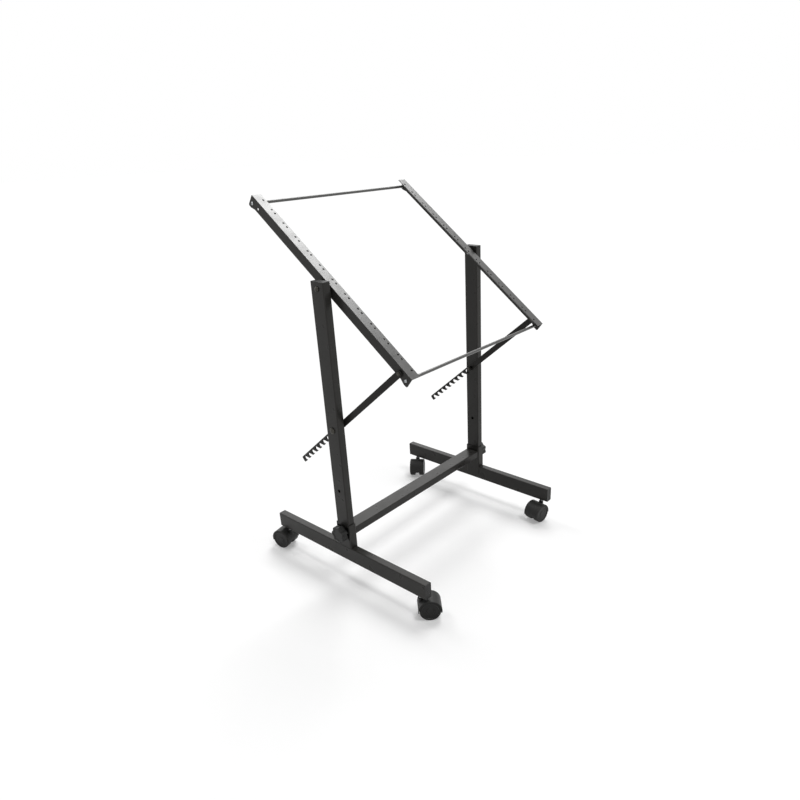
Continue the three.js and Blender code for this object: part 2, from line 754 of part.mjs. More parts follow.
function makeCaster(side, end, corner) {
  const x = side * uprightCentre;
  const y = end * (footLength / 2 - casterInset);
  const flangeTop = casterHeight - fitGap;
  const flangeLow = flangeTop - stemFlangeHeight;
  const stemTop = casterHeight + stemAboveWall;
  const stem = joined([
    barAlongZ(stemRadius, stemLow, stemTop, x, y),
    barAlongZ(stemFlangeRadius, flangeLow, flangeTop, x, y),
  ]);
  add(stand, `caster_stem_${corner}`, stem, zincSteel);
  const swivel = new THREE.Group();
  swivel.position.set(x, y, 0);
  swivel.rotation.z = THREE.MathUtils.degToRad(casterSwivels[corner]);
  stand.add(swivel);
  makeHood(swivel, `caster_hood_${corner}`);
  const axleHalf = wheelOuter - wheelFaceDepth - wheelFaceThickness - fitGap;
  const axle = barAlongX(axleRadius, -axleHalf, axleHalf, -casterTrail, wheelRadius);
  add(swivel, `caster_axle_${corner}`, axle, zincSteel);
  makeWheel(swivel, -1, `caster_wheel_a_${corner}`);
  makeWheel(swivel, 1, `caster_wheel_b_${corner}`);
}

// The whole stand

for (const [side, sideName] of [[-1, 'left'], [1, 'right']]) {
  makeFoot(side, sideName);
  makeUpright(side, sideName);
  makeBracket(side, sideName);
  makePivot(side, sideName);
  makePin(side, sideName);
  makeKnob(side, sideName);
  makeCrossbarEnd(side, sideName);
  makeRail(side, sideName);
  makeRodScrew(side, rodAlong, `top_rod_screw_${sideName}`);
  makeRodScrew(side, -rodAlong, `bottom_rod_screw_${sideName}`);
  makeArm(side, sideName);
  makeCaster(side, -1, `front_${sideName}`);
  makeCaster(side, 1, `rear_${sideName}`);
}
makeCrossbar();
makeTieRod(rodAlong, 'top_tie_rod');
makeTieRod(-rodAlong, 'bottom_tie_rod');

export default stand;
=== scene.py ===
# %% [markdown]
# # A tilting rack stand
# This file dresses a tilting studio rack stand: steel tubes and rails with black powder coats,
# black moulded knobs and caps, and twin-wheel casters. The CAD model gives the places and the
# sizes, and each piece here stands exactly where its CAD solid is, with finer edges.

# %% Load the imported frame
import math

import bpy
from mathutils import Matrix, Vector


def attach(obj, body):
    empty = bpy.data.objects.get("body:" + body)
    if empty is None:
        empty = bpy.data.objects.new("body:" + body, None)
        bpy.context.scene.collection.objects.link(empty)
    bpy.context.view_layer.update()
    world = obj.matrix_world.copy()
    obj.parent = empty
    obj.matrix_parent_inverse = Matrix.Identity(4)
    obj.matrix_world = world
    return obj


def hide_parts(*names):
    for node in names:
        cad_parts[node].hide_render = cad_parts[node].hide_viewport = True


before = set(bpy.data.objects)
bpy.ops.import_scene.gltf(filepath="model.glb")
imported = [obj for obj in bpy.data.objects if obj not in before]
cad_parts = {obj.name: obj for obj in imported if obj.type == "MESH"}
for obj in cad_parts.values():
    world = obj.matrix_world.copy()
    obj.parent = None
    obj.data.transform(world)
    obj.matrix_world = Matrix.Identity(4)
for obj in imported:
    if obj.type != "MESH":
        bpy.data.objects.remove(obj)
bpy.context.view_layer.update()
bpy.ops.object.select_all(action="DESELECT")
MM = 0.001

# %% [markdown]
# ## The camera
# The photograph was taken from the left front, from about a metre up and rather close, so the
# near foot looks larger than the far one. A place, a heading, a dip below the horizon and a
# slight lean describe that camera, and a small shift keeps the stand where it is in the frame.

# %% Camera
FRAME_PIXELS = 800
SENSOR_MM = 36
FOCAL_PIXELS = 640.0
CENTRE_PIXELS = (433.6, 424.5)
CAMERA_MM = Vector((-1135.8, -1039.7, 1012.0))
HEADING, DIP, LEAN = math.radians(49.43), math.radians(24.01), math.radians(-2.25)

lens_data = bpy.data.cameras.new("camera")
lens_data.sensor_width = SENSOR_MM
lens_data.lens = FOCAL_PIXELS * SENSOR_MM / FRAME_PIXELS
lens_data.shift_x = (FRAME_PIXELS / 2 - CENTRE_PIXELS[0]) / FRAME_PIXELS
lens_data.shift_y = (CENTRE_PIXELS[1] - FRAME_PIXELS / 2) / FRAME_PIXELS
camera = bpy.data.objects.new("camera", lens_data)
bpy.context.collection.objects.link(camera)
turn = Matrix.Rotation(-HEADING, 4, "Z") @ Matrix.Rotation(math.pi / 2 - DIP, 4, "X")
camera.matrix_world = Matrix.Translation(CAMERA_MM * MM) @ turn @ Matrix.Rotation(LEAN, 4, "Z")
bpy.context.scene.camera = camera
print("lens in mm:", round(lens_data.lens, 1))

# %% [markdown]
# ## Colour and nodes
# Paint charts give colours as sRGB hex values, and Blender's shaders work in linear light, so one
# function turns one into the other, with the numbers of the sRGB standard. A second function adds
# a shader node with its settings and its links in one line, which keeps each material short
# enough to read.

# %% Colour and node helpers
def linear(hex_code):
    """An sRGB hex colour as linear red, green, blue and alpha."""
    parts = [int(hex_code[i:i + 2], 16) / 255 for i in (1, 3, 5)]
    curve = [v / 12.92 if v <= 0.04045 else ((v + 0.055) / 1.055) ** 2.4 for v in parts]
    return (*curve, 1.0)


def add(tree, kind, inputs=None, **settings):
    """Adds a node, sets its properties, and sets or links its inputs."""
    node = tree.nodes.new(kind)
    for name, value in settings.items():
        setattr(node, name, value)
    for key, value in (inputs or {}).items():
        if isinstance(value, bpy.types.NodeSocket):
            tree.links.new(value, node.inputs[key])
        else:
            node.inputs[key].default_value = value
    return node


def new_material(name):
    """A new material with an empty node tree and its output node."""
    material = bpy.data.materials.new(name)
    material.use_nodes = True
    material.node_tree.nodes.clear()
    return material, material.node_tree, add(material.node_tree, "ShaderNodeOutputMaterial")


print("black as linear light:", [round(v, 4) for v in linear("#1d1c1a")[:3]])

# %% [markdown]
# ## Edges and patches
# No real surface is even: handling rubs its edges, and its colour and gloss drift from place to
# place. A Bevel node finds edges by comparing the rounded normal with the true one. A noise gives
# the patches. Most of its values lie close to a half, so they are stretched before they are used.

# %% Edges and patches
EDGE_SAMPLES = 4
SHARP_ALIKE, FLAT_ALIKE = 0.6, 0.97
NOISE_LOW, NOISE_HIGH = 0.3, 0.7


def edge_mask(tree, radius_mm):
    """A value that is 0 on flat ground and rises to 1 on edges, within a radius."""
    bevel = add(tree, "ShaderNodeBevel", {"Radius": radius_mm * MM}, samples=EDGE_SAMPLES)
    plain = add(tree, "ShaderNodeNewGeometry")
    alike = add(tree, "ShaderNodeVectorMath",
                {0: bevel.outputs["Normal"], 1: plain.outputs["Normal"]}, operation="DOT_PRODUCT")
    mask = add(tree, "ShaderNodeMapRange", {
        "Value": alike.outputs["Value"], "From Min": FLAT_ALIKE, "From Max": SHARP_ALIKE,
        "To Min": 0.0, "To Max": 1.0})
    return mask.outputs["Result"]


def noise(tree, size_mm, detail=2.0, offset=(0, 0, 0)):
    """A noise on Object coordinates whose bumps are about this many millimetres wide."""
    place = add(tree, "ShaderNodeTexCoord").outputs["Object"]
    moved = add(tree, "ShaderNodeMapping", {"Vector": place, "Location": offset})
    bumps = add(tree, "ShaderNodeTexNoise", {
        "Vector": moved.outputs["Vector"], "Scale": 1 / (size_mm * MM), "Detail": detail})
    return bumps.outputs["Fac"]


def between(tree, value, low, high):
    """Stretches a noise so that it runs from low to high."""
    stretched = add(tree, "ShaderNodeMapRange", {
        "Value": value, "From Min": NOISE_LOW, "From Max": NOISE_HIGH, "To Min": low, "To Max": high})
    return stretched.outputs["Result"]


print("edge and patch helpers ready")

# %% [markdown]
# ## Black powder coat
# The tubes and rails are powder coated: a resin powder is baked on and flows into a skin about
# 0.08 mm thick. It never flows out quite level, so the gloss breaks up in a fine orange peel.
# The real peel is about 0.5 mm wide, too fine to show here, so it is drawn at 1.5 mm. Where the
# skin draws back from a sharp edge it is thinner, and the edge gets rubbed lighter and smoother.
#
# One function makes three coats. The tubes' satin coat mirrors little, so it looks dark grey from
# every side. The rails get a lit copy of the same coat that mirrors the lamps far more, a painted
# sheen that makes their faces look pale. The arms' copy is darker, and looks almost black.

# %% Powder coat
SHADE_MM, COAT_EDGE_MM = 60, 0.8
RUB_MM, RUB_LEAST, RUB_MOST = 9, 0.15, 0.8
DRIFT_MM, DRIFT_BELOW, DRIFT_ABOVE = 25, 0.03, 0.04
RUBBED_SMOOTHER = 0.12
PEEL_MM, PEEL_DEPTH_MM, PEEL_STRENGTH = 1.5, 0.1, 0.12


def powder_coat(name, dark, light, worn, roughness, specular):
    """Baked powder: two near shades, orange peel, and edges that are rubbed lighter and smoother."""
    material, tree, output = new_material(name)
    shade = add(tree, "ShaderNodeMix", {
        "Factor": between(tree, noise(tree, SHADE_MM), 0.0, 1.0),
        "A": linear(dark), "B": linear(light)}, data_type="RGBA")
    rubbing = between(tree, noise(tree, RUB_MM), RUB_LEAST, RUB_MOST)
    patchy = add(tree, "ShaderNodeMath", {0: edge_mask(tree, COAT_EDGE_MM), 1: rubbing},
                 operation="MULTIPLY").outputs["Value"]
    colour = add(tree, "ShaderNodeMix", {
        "Factor": patchy, "A": shade.outputs["Result"], "B": linear(worn)}, data_type="RGBA")
    rough = between(tree, noise(tree, DRIFT_MM, detail=1.0, offset=(3, 1, 2)),
                    roughness - DRIFT_BELOW, roughness + DRIFT_ABOVE)
    smoother = add(tree, "ShaderNodeMath", {0: patchy, 1: -RUBBED_SMOOTHER, 2: rough},
                   operation="MULTIPLY_ADD")
    peel = add(tree, "ShaderNodeBump", {
        "Height": noise(tree, PEEL_MM, detail=1.0), "Strength": PEEL_STRENGTH,
        "Distance": PEEL_DEPTH_MM * MM})
    coat = add(tree, "ShaderNodeBsdfPrincipled", {
        "Base Color": colour.outputs["Result"], "Roughness": smoother.outputs["Value"],
        "Normal": peel.outputs["Normal"], "Specular IOR Level": specular})
    tree.links.new(coat.outputs["BSDF"], output.inputs["Surface"])
    return material


tube_coat = powder_coat("satin_black_powder_coat", "#302f2d", "#363533", "#5a5852",
                        roughness=0.3, specular=0.17)
# The lit copy of the coat mirrors the lamps far more than the tubes' coat: a painted sheen on the rails'
# faces and the tie rods.
lit_rail_coat = powder_coat("lit_black_powder_coat", "#302f2d", "#373634", "#605e58",
                        roughness=0.3, specular=0.92)
# The arms' copy of the coat is darker and mirrors less.
arm_coat = powder_coat("darkest_black_powder_coat", "#252422", "#2b2a28", "#4c4a45",
                       roughness=0.32, specular=0.12)
print("coats:", tube_coat.name, lit_rail_coat.name, arm_coat.name)

# %% [markdown]
# ## Fastener finishes
# The bolts, pins, lip screws and rivets are steel with a black oxide, which stays metallic and
# takes a soft highlight. Nuts, rod screws, axles and caster stems are zinc plated: a paler metal
# with faint cloudy patches. Both are metals, so the colour sits in the reflection and the IOR
# keeps its default.

# %% Black oxide and zinc plate
METAL_EDGE_MM = 0.5
CLOUD_GRAINS, HAZE_GRAINS = 6, 3
HAZE_BELOW, HAZE_ABOVE = 0.05, 0.08
MARK_DEPTH_MM, MARK_STRENGTH = 0.05, 0.1


def plated_steel(name, dark, light, roughness, grain_mm):
    """A metal with cloudy plating, fine tumbling marks and rubbed edges."""
    material, tree, output = new_material(name)
    cloud = between(tree, noise(tree, grain_mm * CLOUD_GRAINS, detail=3.0), 0.0, 1.0)
    both = add(tree, "ShaderNodeMath", {0: cloud, 1: edge_mask(tree, METAL_EDGE_MM)},
               operation="MAXIMUM")
    colour = add(tree, "ShaderNodeMix", {
        "Factor": both.outputs["Value"], "A": linear(dark), "B": linear(light)}, data_type="RGBA")
    rough = between(tree, noise(tree, grain_mm * HAZE_GRAINS, detail=4.0, offset=(1, 2, 3)),
                    roughness - HAZE_BELOW, roughness + HAZE_ABOVE)
    marks = add(tree, "ShaderNodeBump", {
        "Height": noise(tree, grain_mm), "Strength": MARK_STRENGTH, "Distance": MARK_DEPTH_MM * MM})
    metal = add(tree, "ShaderNodeBsdfPrincipled", {
        "Base Color": colour.outputs["Result"], "Metallic": 1.0, "Roughness": rough,
        "Normal": marks.outputs["Normal"]})
    tree.links.new(metal.outputs["BSDF"], output.inputs["Surface"])
    return material


black_oxide = plated_steel("black_oxide_steel", "#262523", "#514f4a", roughness=0.3, grain_mm=1.0)
zinc_plate = plated_steel("zinc_plated_steel", "#8f9294", "#b4b7b9", roughness=0.32, grain_mm=1.2)
print("metals:", black_oxide.name, zinc_plate.name)

# %% [markdown]
# ## Moulded plastics
# Caps, knobs, bushes and caster hoods are black ABS from a spark-eroded mould, which leaves a
# fine leather-like grain of about 0.3 mm, drawn at 1 mm so that it shows. The wheels are nylon
# with a smoother skin, so their highlight is a little tighter.

# %% Grained ABS and nylon
PLASTIC_EDGE_MM = 0.6
DUST_MM, DUST_LEAST, DUST_MOST = 5, 0.1, 0.7
SKIN_MM, SKIN_BELOW, SKIN_ABOVE = 14, 0.05, 0.07
GRAIN_STRENGTH = 0.2
PLASTIC_IOR, PLASTIC_SPECULAR = 1.5, 0.25


def moulded_plastic(name, dark, light, roughness, grain_mm, grain_depth_mm):
    """Black plastic with mould grain, a slow change of gloss and slightly rubbed edges."""
    material, tree, output = new_material(name)
    patches = between(tree, noise(tree, DUST_MM), DUST_LEAST, DUST_MOST)
    dust = add(tree, "ShaderNodeMath", {0: edge_mask(tree, PLASTIC_EDGE_MM), 1: patches},
               operation="MULTIPLY")
    colour = add(tree, "ShaderNodeMix", {
        "Factor": dust.outputs["Value"], "A": linear(dark), "B": linear(light)}, data_type="RGBA")
    rough = between(tree, noise(tree, SKIN_MM, detail=4.0, offset=(2, 3, 1)),
                    roughness - SKIN_BELOW, roughness + SKIN_ABOVE)
    grain = add(tree, "ShaderNodeBump", {
        "Height": noise(tree, grain_mm), "Strength": GRAIN_STRENGTH, "Distance": grain_depth_mm * MM})
    plastic = add(tree, "ShaderNodeBsdfPrincipled", {
        "Base Color": colour.outputs["Result"], "Roughness": rough, "Normal": grain.outputs["Normal"],
        "IOR": PLASTIC_IOR, "Specular IOR Level": PLASTIC_SPECULAR})
    tree.links.new(plastic.outputs["BSDF"], output.inputs["Surface"])
    return material


grained_abs = moulded_plastic("grained_black_abs", "#262625", "#484744",
                              roughness=0.46, grain_mm=1.0, grain_depth_mm=0.12)
wheel_nylon = moulded_plastic("black_nylon", "#1a1a19", "#3a3937",
                              roughness=0.38, grain_mm=2.0, grain_depth_mm=0.06)
print("plastics:", grained_abs.name, wheel_nylon.name)

# %% [markdown]
# ## Modelling tools
# Sheet-metal parts start as a cube or a cylinder that is stretched to size, then cut and
# rounded, much as they are sawn, punched and deburred in the shop. These two functions add the
# cube and the cylinder at their place, in millimetres.

# %% Blocks and drums
X, Y, Z = range(3)
DRUM_TURNS = {X: (0, math.pi / 2, 0), Z: (0, 0, 0)}


def block(name, low, high):
    """A cube stretched between two corners, in millimetres."""
    low, high = Vector(low) * MM, Vector(high) * MM
    bpy.ops.mesh.primitive_cube_add(size=1, location=(low + high) / 2, scale=high - low)
    bpy.ops.object.transform_apply(location=True, rotation=True, scale=True)
    piece = bpy.context.object
    piece.name = name
    return piece


def drum(name, axis, radius, start, end, centre=(0, 0), sides=48):
    """A cylinder along X or Z from start to end. Centre gives its other two coordinates."""
    place = list(centre)
    place.insert(axis, (start + end) / 2)
    bpy.ops.mesh.primitive_cylinder_add(vertices=sides, radius=radius * MM, depth=abs(end - start) * MM,
                                        location=Vector(place) * MM, rotation=DRUM_TURNS[axis])
    bpy.ops.object.transform_apply(location=True, rotation=True, scale=True)
    piece = bpy.context.object
    piece.name = name
    return piece


print("blocks and drums ready")

# %% [markdown]
# An operator works on what is selected, so faces and edges are picked by where they lie or where
# they face. Each test below is a small function that says yes or no to one face or edge.

# %% Picking faces and edges
def select_only(piece):
    """Selects one piece alone and makes it the active one."""
    bpy.ops.object.select_all(action="DESELECT")
    bpy.context.view_layer.objects.active = piece
    piece.select_set(True)


def pick(piece, kind, test):
    """Goes into edit mode with only the faces or edges picked that pass the test.
    A face is tested by its centre in mm and its normal, an edge by its two ends in mm."""
    select_only(piece)
    bpy.ops.object.mode_set(mode="EDIT")
    bpy.ops.mesh.select_mode(type=kind)
    bpy.ops.mesh.select_all(action="DESELECT")
    bpy.ops.object.mode_set(mode="OBJECT")
    mesh = piece.data
    if kind == "FACE":
        for face in mesh.polygons:
            face.select = bool(test(face.center / MM, face.normal))
    else:
        for edge in mesh.edges:
            start, end = (mesh.vertices[i].co / MM for i in edge.vertices)
            edge.select = bool(test(start, end))
    bpy.ops.object.mode_set(mode="EDIT")


def leave_edit():
    """Goes back to object mode, which writes the edits to the mesh."""
    bpy.ops.object.mode_set(mode="OBJECT")


def facing(axis, way=0):
    """A test for faces that look along an axis: one way, 1 or -1, or both ways."""
    return lambda centre, normal: (normal[axis] * way if way else abs(normal[axis])) > 0.99


def along(axis):
    """A test for edges that run along an axis."""
    return lambda a, b: abs(abs((b - a).normalized()[axis]) - 1) < 1e-4


def past(axis, other, place, way=1):
    """A test for edges along one axis that lie past a place on another, above it or, with -1, below."""
    return lambda a, b: along(axis)(a, b) and (a[other] - place) * way > 0


def rings(a, b):
    """A test for the edges that run round the ends of a drum on the X axis."""
    return abs(a.x - b.x) < 0.1


print("picking tools ready")

# %% [markdown]
# Rounding, cutting and finishing come next. A hole is punched with a Boolean modifier that is
# applied at once, and a last small bevel breaks every sharp edge, because no real edge is
# perfectly sharp and the small round is what catches the light.

# %% Rounding, joining, punching, deburring
SMOOTH_ANGLE = math.radians(40)


def round_edges(piece, radius, test, segments=4):
    """Rounds the picked edges with a bevel of this radius, in millimetres."""
    pick(piece, "EDGE", test)
    bpy.ops.mesh.bevel(offset=radius * MM, segments=segments, affect="EDGES")
    leave_edit()


def apply_modifier(piece, kind, **settings):
    """Adds a modifier with its settings and applies it."""
    select_only(piece)
    modifier = piece.modifiers.new("step", kind)
    for name, value in settings.items():
        setattr(modifier, name, value)
    bpy.ops.object.modifier_apply(modifier=modifier.name)


def combine(piece, operation, *others):
    """Unites other solids with a piece, or takes them away from it, one after another."""
    for other in others:
        apply_modifier(piece, "BOOLEAN", operation=operation, object=other, solver="EXACT")
        bpy.data.objects.remove(other)


def joined(pieces):
    """Several separate solids as one object."""
    bpy.ops.object.select_all(action="DESELECT")
    for piece in pieces:
        piece.select_set(True)
    bpy.context.view_layer.objects.active = pieces[0]
    bpy.ops.object.join()
    return pieces[0]


def deburr(piece, width=0.3, segments=2, angle=35):
    """Breaks the sharp edges of a finished shape and shades it smooth up to an angle."""
    apply_modifier(piece, "BEVEL", width=width * MM, segments=segments, limit_method="ANGLE",
                   angle_limit=math.radians(angle), use_clamp_overlap=True)
    bpy.ops.object.shade_smooth_by_angle(angle=SMOOTH_ANGLE)


print("finishing tools ready")

# %% [markdown]
# The stand is the same on both sides, so a piece is modelled on the left and mirrored. A mirrored
# mesh is inside out, so its faces are flipped back. The last helper dresses a piece. First it
# weights the normals by face area, because otherwise a flat face beside a rounded edge is shaded
# as if it were curved, and the gloss shows that at once. Then it gives the piece its finish and
# the body it rides on, and hides the CAD nodes it stands for.

# %% Mirroring and dressing
MIRROR = Matrix.Scale(-1, 4, (1, 0, 0))


def copied(piece, name, place):
    """A copy with a mesh of its own, moved or mirrored by a matrix."""
    twin = piece.copy()
    twin.data = piece.data.copy()
    twin.name = name
    bpy.context.collection.objects.link(twin)
    twin.data.transform(place)
    if place.determinant() < 0:
        twin.data.flip_normals()
    return twin


def dress(piece, material, slot, body, *nodes):
    """Evens a finished piece's normals, gives it its material and body, and hides the CAD nodes it stands
    for. The slot is not used.
    """
    apply_modifier(piece, "WEIGHTED_NORMAL", keep_sharp=True)
    piece.data.materials.clear()
    piece.data.materials.append(material)
    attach(piece, body)
    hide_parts(*nodes)


def dress_both(piece, node, material, slot, body="base", sided_body=False):
    """Dresses a left piece for node_left, and its mirror image for node_right."""
    right = copied(piece, f"{node}_right_piece", MIRROR)
    piece.name = f"{node}_left_piece"
    for side, item in (("left", piece), ("right", right)):
        dress(item, material, slot, f"{body}_{side}" if sided_body else body, f"{node}_{side}")


print("mirror and dressing tools ready")

# %% [markdown]
# ## Feet
# Each foot is a rectangular steel tube, 20 mm wide and 40 mm high, closed at both ends by a
# plastic plug. The tube is drawn from a strip, so its long edges are rounded. It starts as a
# block, gets its long edges rounded, and its ends are inset and bridged into a hollow tube, which
# keeps the wall even all round. A punch goes a little past each wall that it cuts.

# %% Sizes shared by the tubes
UPRIGHT_INNER, UPRIGHT_OUTER = 256.0, 276.0
FOOT_LOW, FOOT_TOP, FOOT_HALF = 60.0, 100.0, 260.0
TUBE_HALF = 20.0
WALL, TUBE_ROUND, CAP_FLANGE = 1.5, 2.5, 2.5
FIT = 0.3
PUNCH_PAST = 3.0


def hollow(piece, axis):
    """Turns a block into an open tube: both ends are inset by the wall and bridged."""
    pick(piece, "FACE", facing(axis))
    bpy.ops.mesh.inset(thickness=WALL * MM)
    bpy.ops.mesh.bridge_edge_loops()
    leave_edit()


print("tube in mm:", UPRIGHT_OUTER - UPRIGHT_INNER, "by", 2 * TUBE_HALF)

# %% Foot tubes
CASTER_Y, STEM_RADIUS = 235.0, 4.0
FOOT_CENTRE = -(UPRIGHT_INNER + UPRIGHT_OUTER) / 2
tube_end = FOOT_HALF - CAP_FLANGE
foot = block("foot", (-UPRIGHT_OUTER, -tube_end, FOOT_LOW), (-UPRIGHT_INNER, tube_end, FOOT_TOP))
round_edges(foot, TUBE_ROUND, along(Y))
hollow(foot, Y)
stem_holes = [drum("hole", Z, STEM_RADIUS + FIT, FOOT_LOW - PUNCH_PAST, FOOT_LOW + PUNCH_PAST,
                   (FOOT_CENTRE, y)) for y in (-CASTER_Y, CASTER_Y)]
combine(foot, "DIFFERENCE", joined(stem_holes))
deburr(foot)
dress_both(foot, "foot", tube_coat, "powder_coated_steel")
print("foot length in mm:", 2 * tube_end)

# %% [markdown]
# The end plugs are thin lids with a soft edge and a shallow step, as a moulded cap has. The lid
# is a block whose outer face is inset and sunk a little, and its rim is rounded. The step catches
# a thin line of light, which a plain lid would not.

# %% Foot end plugs
PLUG_BORDER, PLUG_STEP, PLUG_SINK, PLUG_RIM = 2.2, 0.5, 0.4, 0.6


def step_in(piece, test, *steps):
    """Insets the picked faces step by step. A step is its width and its rise, in millimetres."""
    pick(piece, "FACE", test)
    for width, rise in steps:
        bpy.ops.mesh.inset(thickness=width * MM, depth=rise * MM)
    leave_edit()


def end_plug(name, low, high, axis, outward):
    """A lid between two corners, with a rounded rim and a shallow step on its outward face."""
    lid = block(name, low, high)
    round_edges(lid, TUBE_ROUND, along(axis))
    step_in(lid, facing(axis, outward), (PLUG_BORDER, 0), (PLUG_STEP, -PLUG_SINK))
    deburr(lid, width=PLUG_RIM, segments=3)
    return lid


for end, end_name in ((-1, "front"), (1, "rear")):
    near, far = sorted((end * tube_end, end * FOOT_HALF))
    plug = end_plug("plug", (-UPRIGHT_OUTER, near, FOOT_LOW), (-UPRIGHT_INNER, far, FOOT_TOP), Y, end)
    dress_both(plug, f"foot_cap_{end_name}", grained_abs, "moulded_plastic")
print("end plugs: 4")

# %% [markdown]
# ## Uprights
# The uprights are the same tube stood on end. Round holes carry the pivot bolt, the support pin
# and a spare pin place lower down. At the foot a window is cut in the outer wall, so that the
# knob's hub reaches the inner wall, and it leaves a lip with rounded corners below. The window is
# a block from which the lip's own rounded block is cut, so one cut leaves both shapes.

# %% Upright tubes
UPRIGHT_TOP = 752.0
tube_top = UPRIGHT_TOP - CAP_FLANGE
upright = block("upright", (-UPRIGHT_OUTER, -TUBE_HALF, FOOT_TOP), (-UPRIGHT_INNER, TUBE_HALF, tube_top))
round_edges(upright, TUBE_ROUND, along(Z))
hollow(upright, Z)
print("upright height in mm:", UPRIGHT_TOP - FOOT_TOP)

# %% Window and lip
LIP_TOP, LIP_ROUND, WINDOW_TOP = 131.0, 14.0, 159.0
NEAR = 1.0
outer_wall = (-UPRIGHT_OUTER - PUNCH_PAST, -UPRIGHT_OUTER + PUNCH_PAST)
window_half = TUBE_HALF - WALL
window = block("window", (outer_wall[0], -window_half, LIP_TOP - LIP_ROUND),
               (outer_wall[1], window_half, WINDOW_TOP))
lip = block("lip", (outer_wall[0] - PUNCH_PAST, -window_half, FOOT_TOP),
            (outer_wall[1] + PUNCH_PAST, window_half, LIP_TOP))
round_edges(lip, LIP_ROUND, past(X, Z, LIP_TOP - NEAR), segments=10)
combine(window, "DIFFERENCE", lip)
print("window height in mm:", WINDOW_TOP - LIP_TOP)

# %% Holes of the uprights
PIVOT_Z, PIN_Z, SPARE_Z, CLAMP_Z = 737.0, 414.0, 256.0, 142.0
PIVOT_RADIUS, PIN_RADIUS, CLAMP_RADIUS, LIP_SCREW_RADIUS = 3.0, 4.0, 4.0, 2.0
LIP_SCREW_Y, LIP_SCREW_Z = 5.0, 119.0
inner_wall = (-UPRIGHT_INNER - PUNCH_PAST, -UPRIGHT_INNER + PUNCH_PAST)
through = (outer_wall[0], inner_wall[1])
punches = [drum("hole", X, radius + FIT, *span, centre) for radius, span, centre in (
    (PIVOT_RADIUS, through, (0, PIVOT_Z)),
    (PIN_RADIUS, through, (0, PIN_Z)),
    (PIN_RADIUS, through, (0, SPARE_Z)),
    (LIP_SCREW_RADIUS, outer_wall, (LIP_SCREW_Y, LIP_SCREW_Z)),
    (CLAMP_RADIUS, inner_wall, (0, CLAMP_Z)))]
combine(upright, "DIFFERENCE", window, joined(punches))
deburr(upright)
dress_both(upright, "upright", tube_coat, "powder_coated_steel")
cap = end_plug("cap", (-UPRIGHT_OUTER, -TUBE_HALF, tube_top), (-UPRIGHT_INNER, TUBE_HALF, UPRIGHT_TOP), Z, 1)
dress_both(cap, "upright_cap", grained_abs, "moulded_plastic")
print("uprights with their caps: 2")

# %% [markdown]
# ## Foot brackets
# A folded 2 mm plate wraps the foot of each upright on the inner, front and rear sides, and its
# skirt runs down the inside of the foot. It is a block with rounded folds, hollowed by a second
# block, so that the plate keeps one thickness round each fold.

# %% Foot brackets
PLATE, SKIRT, BRACKET_TOP, BRACKET_ROUND = 2.0, 25.0, 165.0, 3.0
bracket_inner = UPRIGHT_INNER - FIT - PLATE
bracket_half = TUBE_HALF + FIT + PLATE
skirt_low = FOOT_TOP - SKIRT
beyond = -UPRIGHT_OUTER - PUNCH_PAST
bracket = block("bracket", (-UPRIGHT_OUTER, -bracket_half, skirt_low),
                (-bracket_inner, bracket_half, BRACKET_TOP))
round_edges(bracket, BRACKET_ROUND, past(Z, X, -bracket_inner - NEAR), segments=5)
pocket = block("pocket", (beyond, PLATE - bracket_half, skirt_low - PUNCH_PAST),
               (-bracket_inner - PLATE, bracket_half - PLATE, BRACKET_TOP + PUNCH_PAST))
round_edges(pocket, BRACKET_ROUND - PLATE, past(Z, X, -bracket_inner - PLATE - NEAR))
below = block("below", (beyond, -bracket_half - PUNCH_PAST, skirt_low - PUNCH_PAST),
              (-bracket_inner - PLATE, bracket_half + PUNCH_PAST, FOOT_TOP))
combine(bracket, "DIFFERENCE", pocket, below)
deburr(bracket, width=0.25)
dress_both(bracket, "foot_bracket", tube_coat, "powder_coated_steel")
print("bracket height in mm:", BRACKET_TOP - skirt_low)

# %% [markdown]
# ## Crossbar
# The crossbar lies flat between the uprights, 40 mm deep and 20 mm high, and a plate with a
# threaded insert closes each end. The bar is a tube like the others. The plate is a block with
# the tube's rounded corners, and the insert reaches into it a little, so that they unite cleanly.

# %% Crossbar and its end plates
BAR_HALF_HEIGHT, END_PLATE = 10.0, 3.0
INSERT_RADIUS, INSERT_LENGTH, BORE_LENGTH = 7.5, 10.0, 14.0
REACH = 1.0
crossbar_end = bracket_inner - FIT
bar_half = crossbar_end - END_PLATE
bar_low, bar_top = CLAMP_Z - BAR_HALF_HEIGHT, CLAMP_Z + BAR_HALF_HEIGHT
bar = block("crossbar_piece", (-bar_half, -TUBE_HALF, bar_low), (bar_half, TUBE_HALF, bar_top))
round_edges(bar, TUBE_ROUND, along(X))
hollow(bar, X)
deburr(bar)
dress(bar, tube_coat, "powder_coated_steel", "base", "crossbar")
plate = block("plate", (-crossbar_end, -TUBE_HALF, bar_low), (-bar_half, TUBE_HALF, bar_top))
round_edges(plate, TUBE_ROUND, along(X))
combine(plate, "UNION", drum("insert", X, INSERT_RADIUS, -bar_half - REACH, INSERT_LENGTH - bar_half,
                             (0, CLAMP_Z)))
combine(plate, "DIFFERENCE", drum("bore", X, CLAMP_RADIUS + FIT, -crossbar_end - PUNCH_PAST,
                                  BORE_LENGTH - bar_half, (0, CLAMP_Z)))
deburr(plate)
dress_both(plate, "crossbar_end", tube_coat, "powder_coated_steel")
print("crossbar length in mm:", round(2 * crossbar_end, 1))

# %% [markdown]
# ## Rack rails
# A rail is a 2 mm angle: the face that equipment is screwed to, and a side flange with an ear at
# each end that hangs a little below its edge. The flange is made as deep as its ears, and then
# cut back between them, as a blanking die does. It is modelled flat, with the pivot at the origin
# and its face upwards, and then tilted with everything that belongs to the frame.

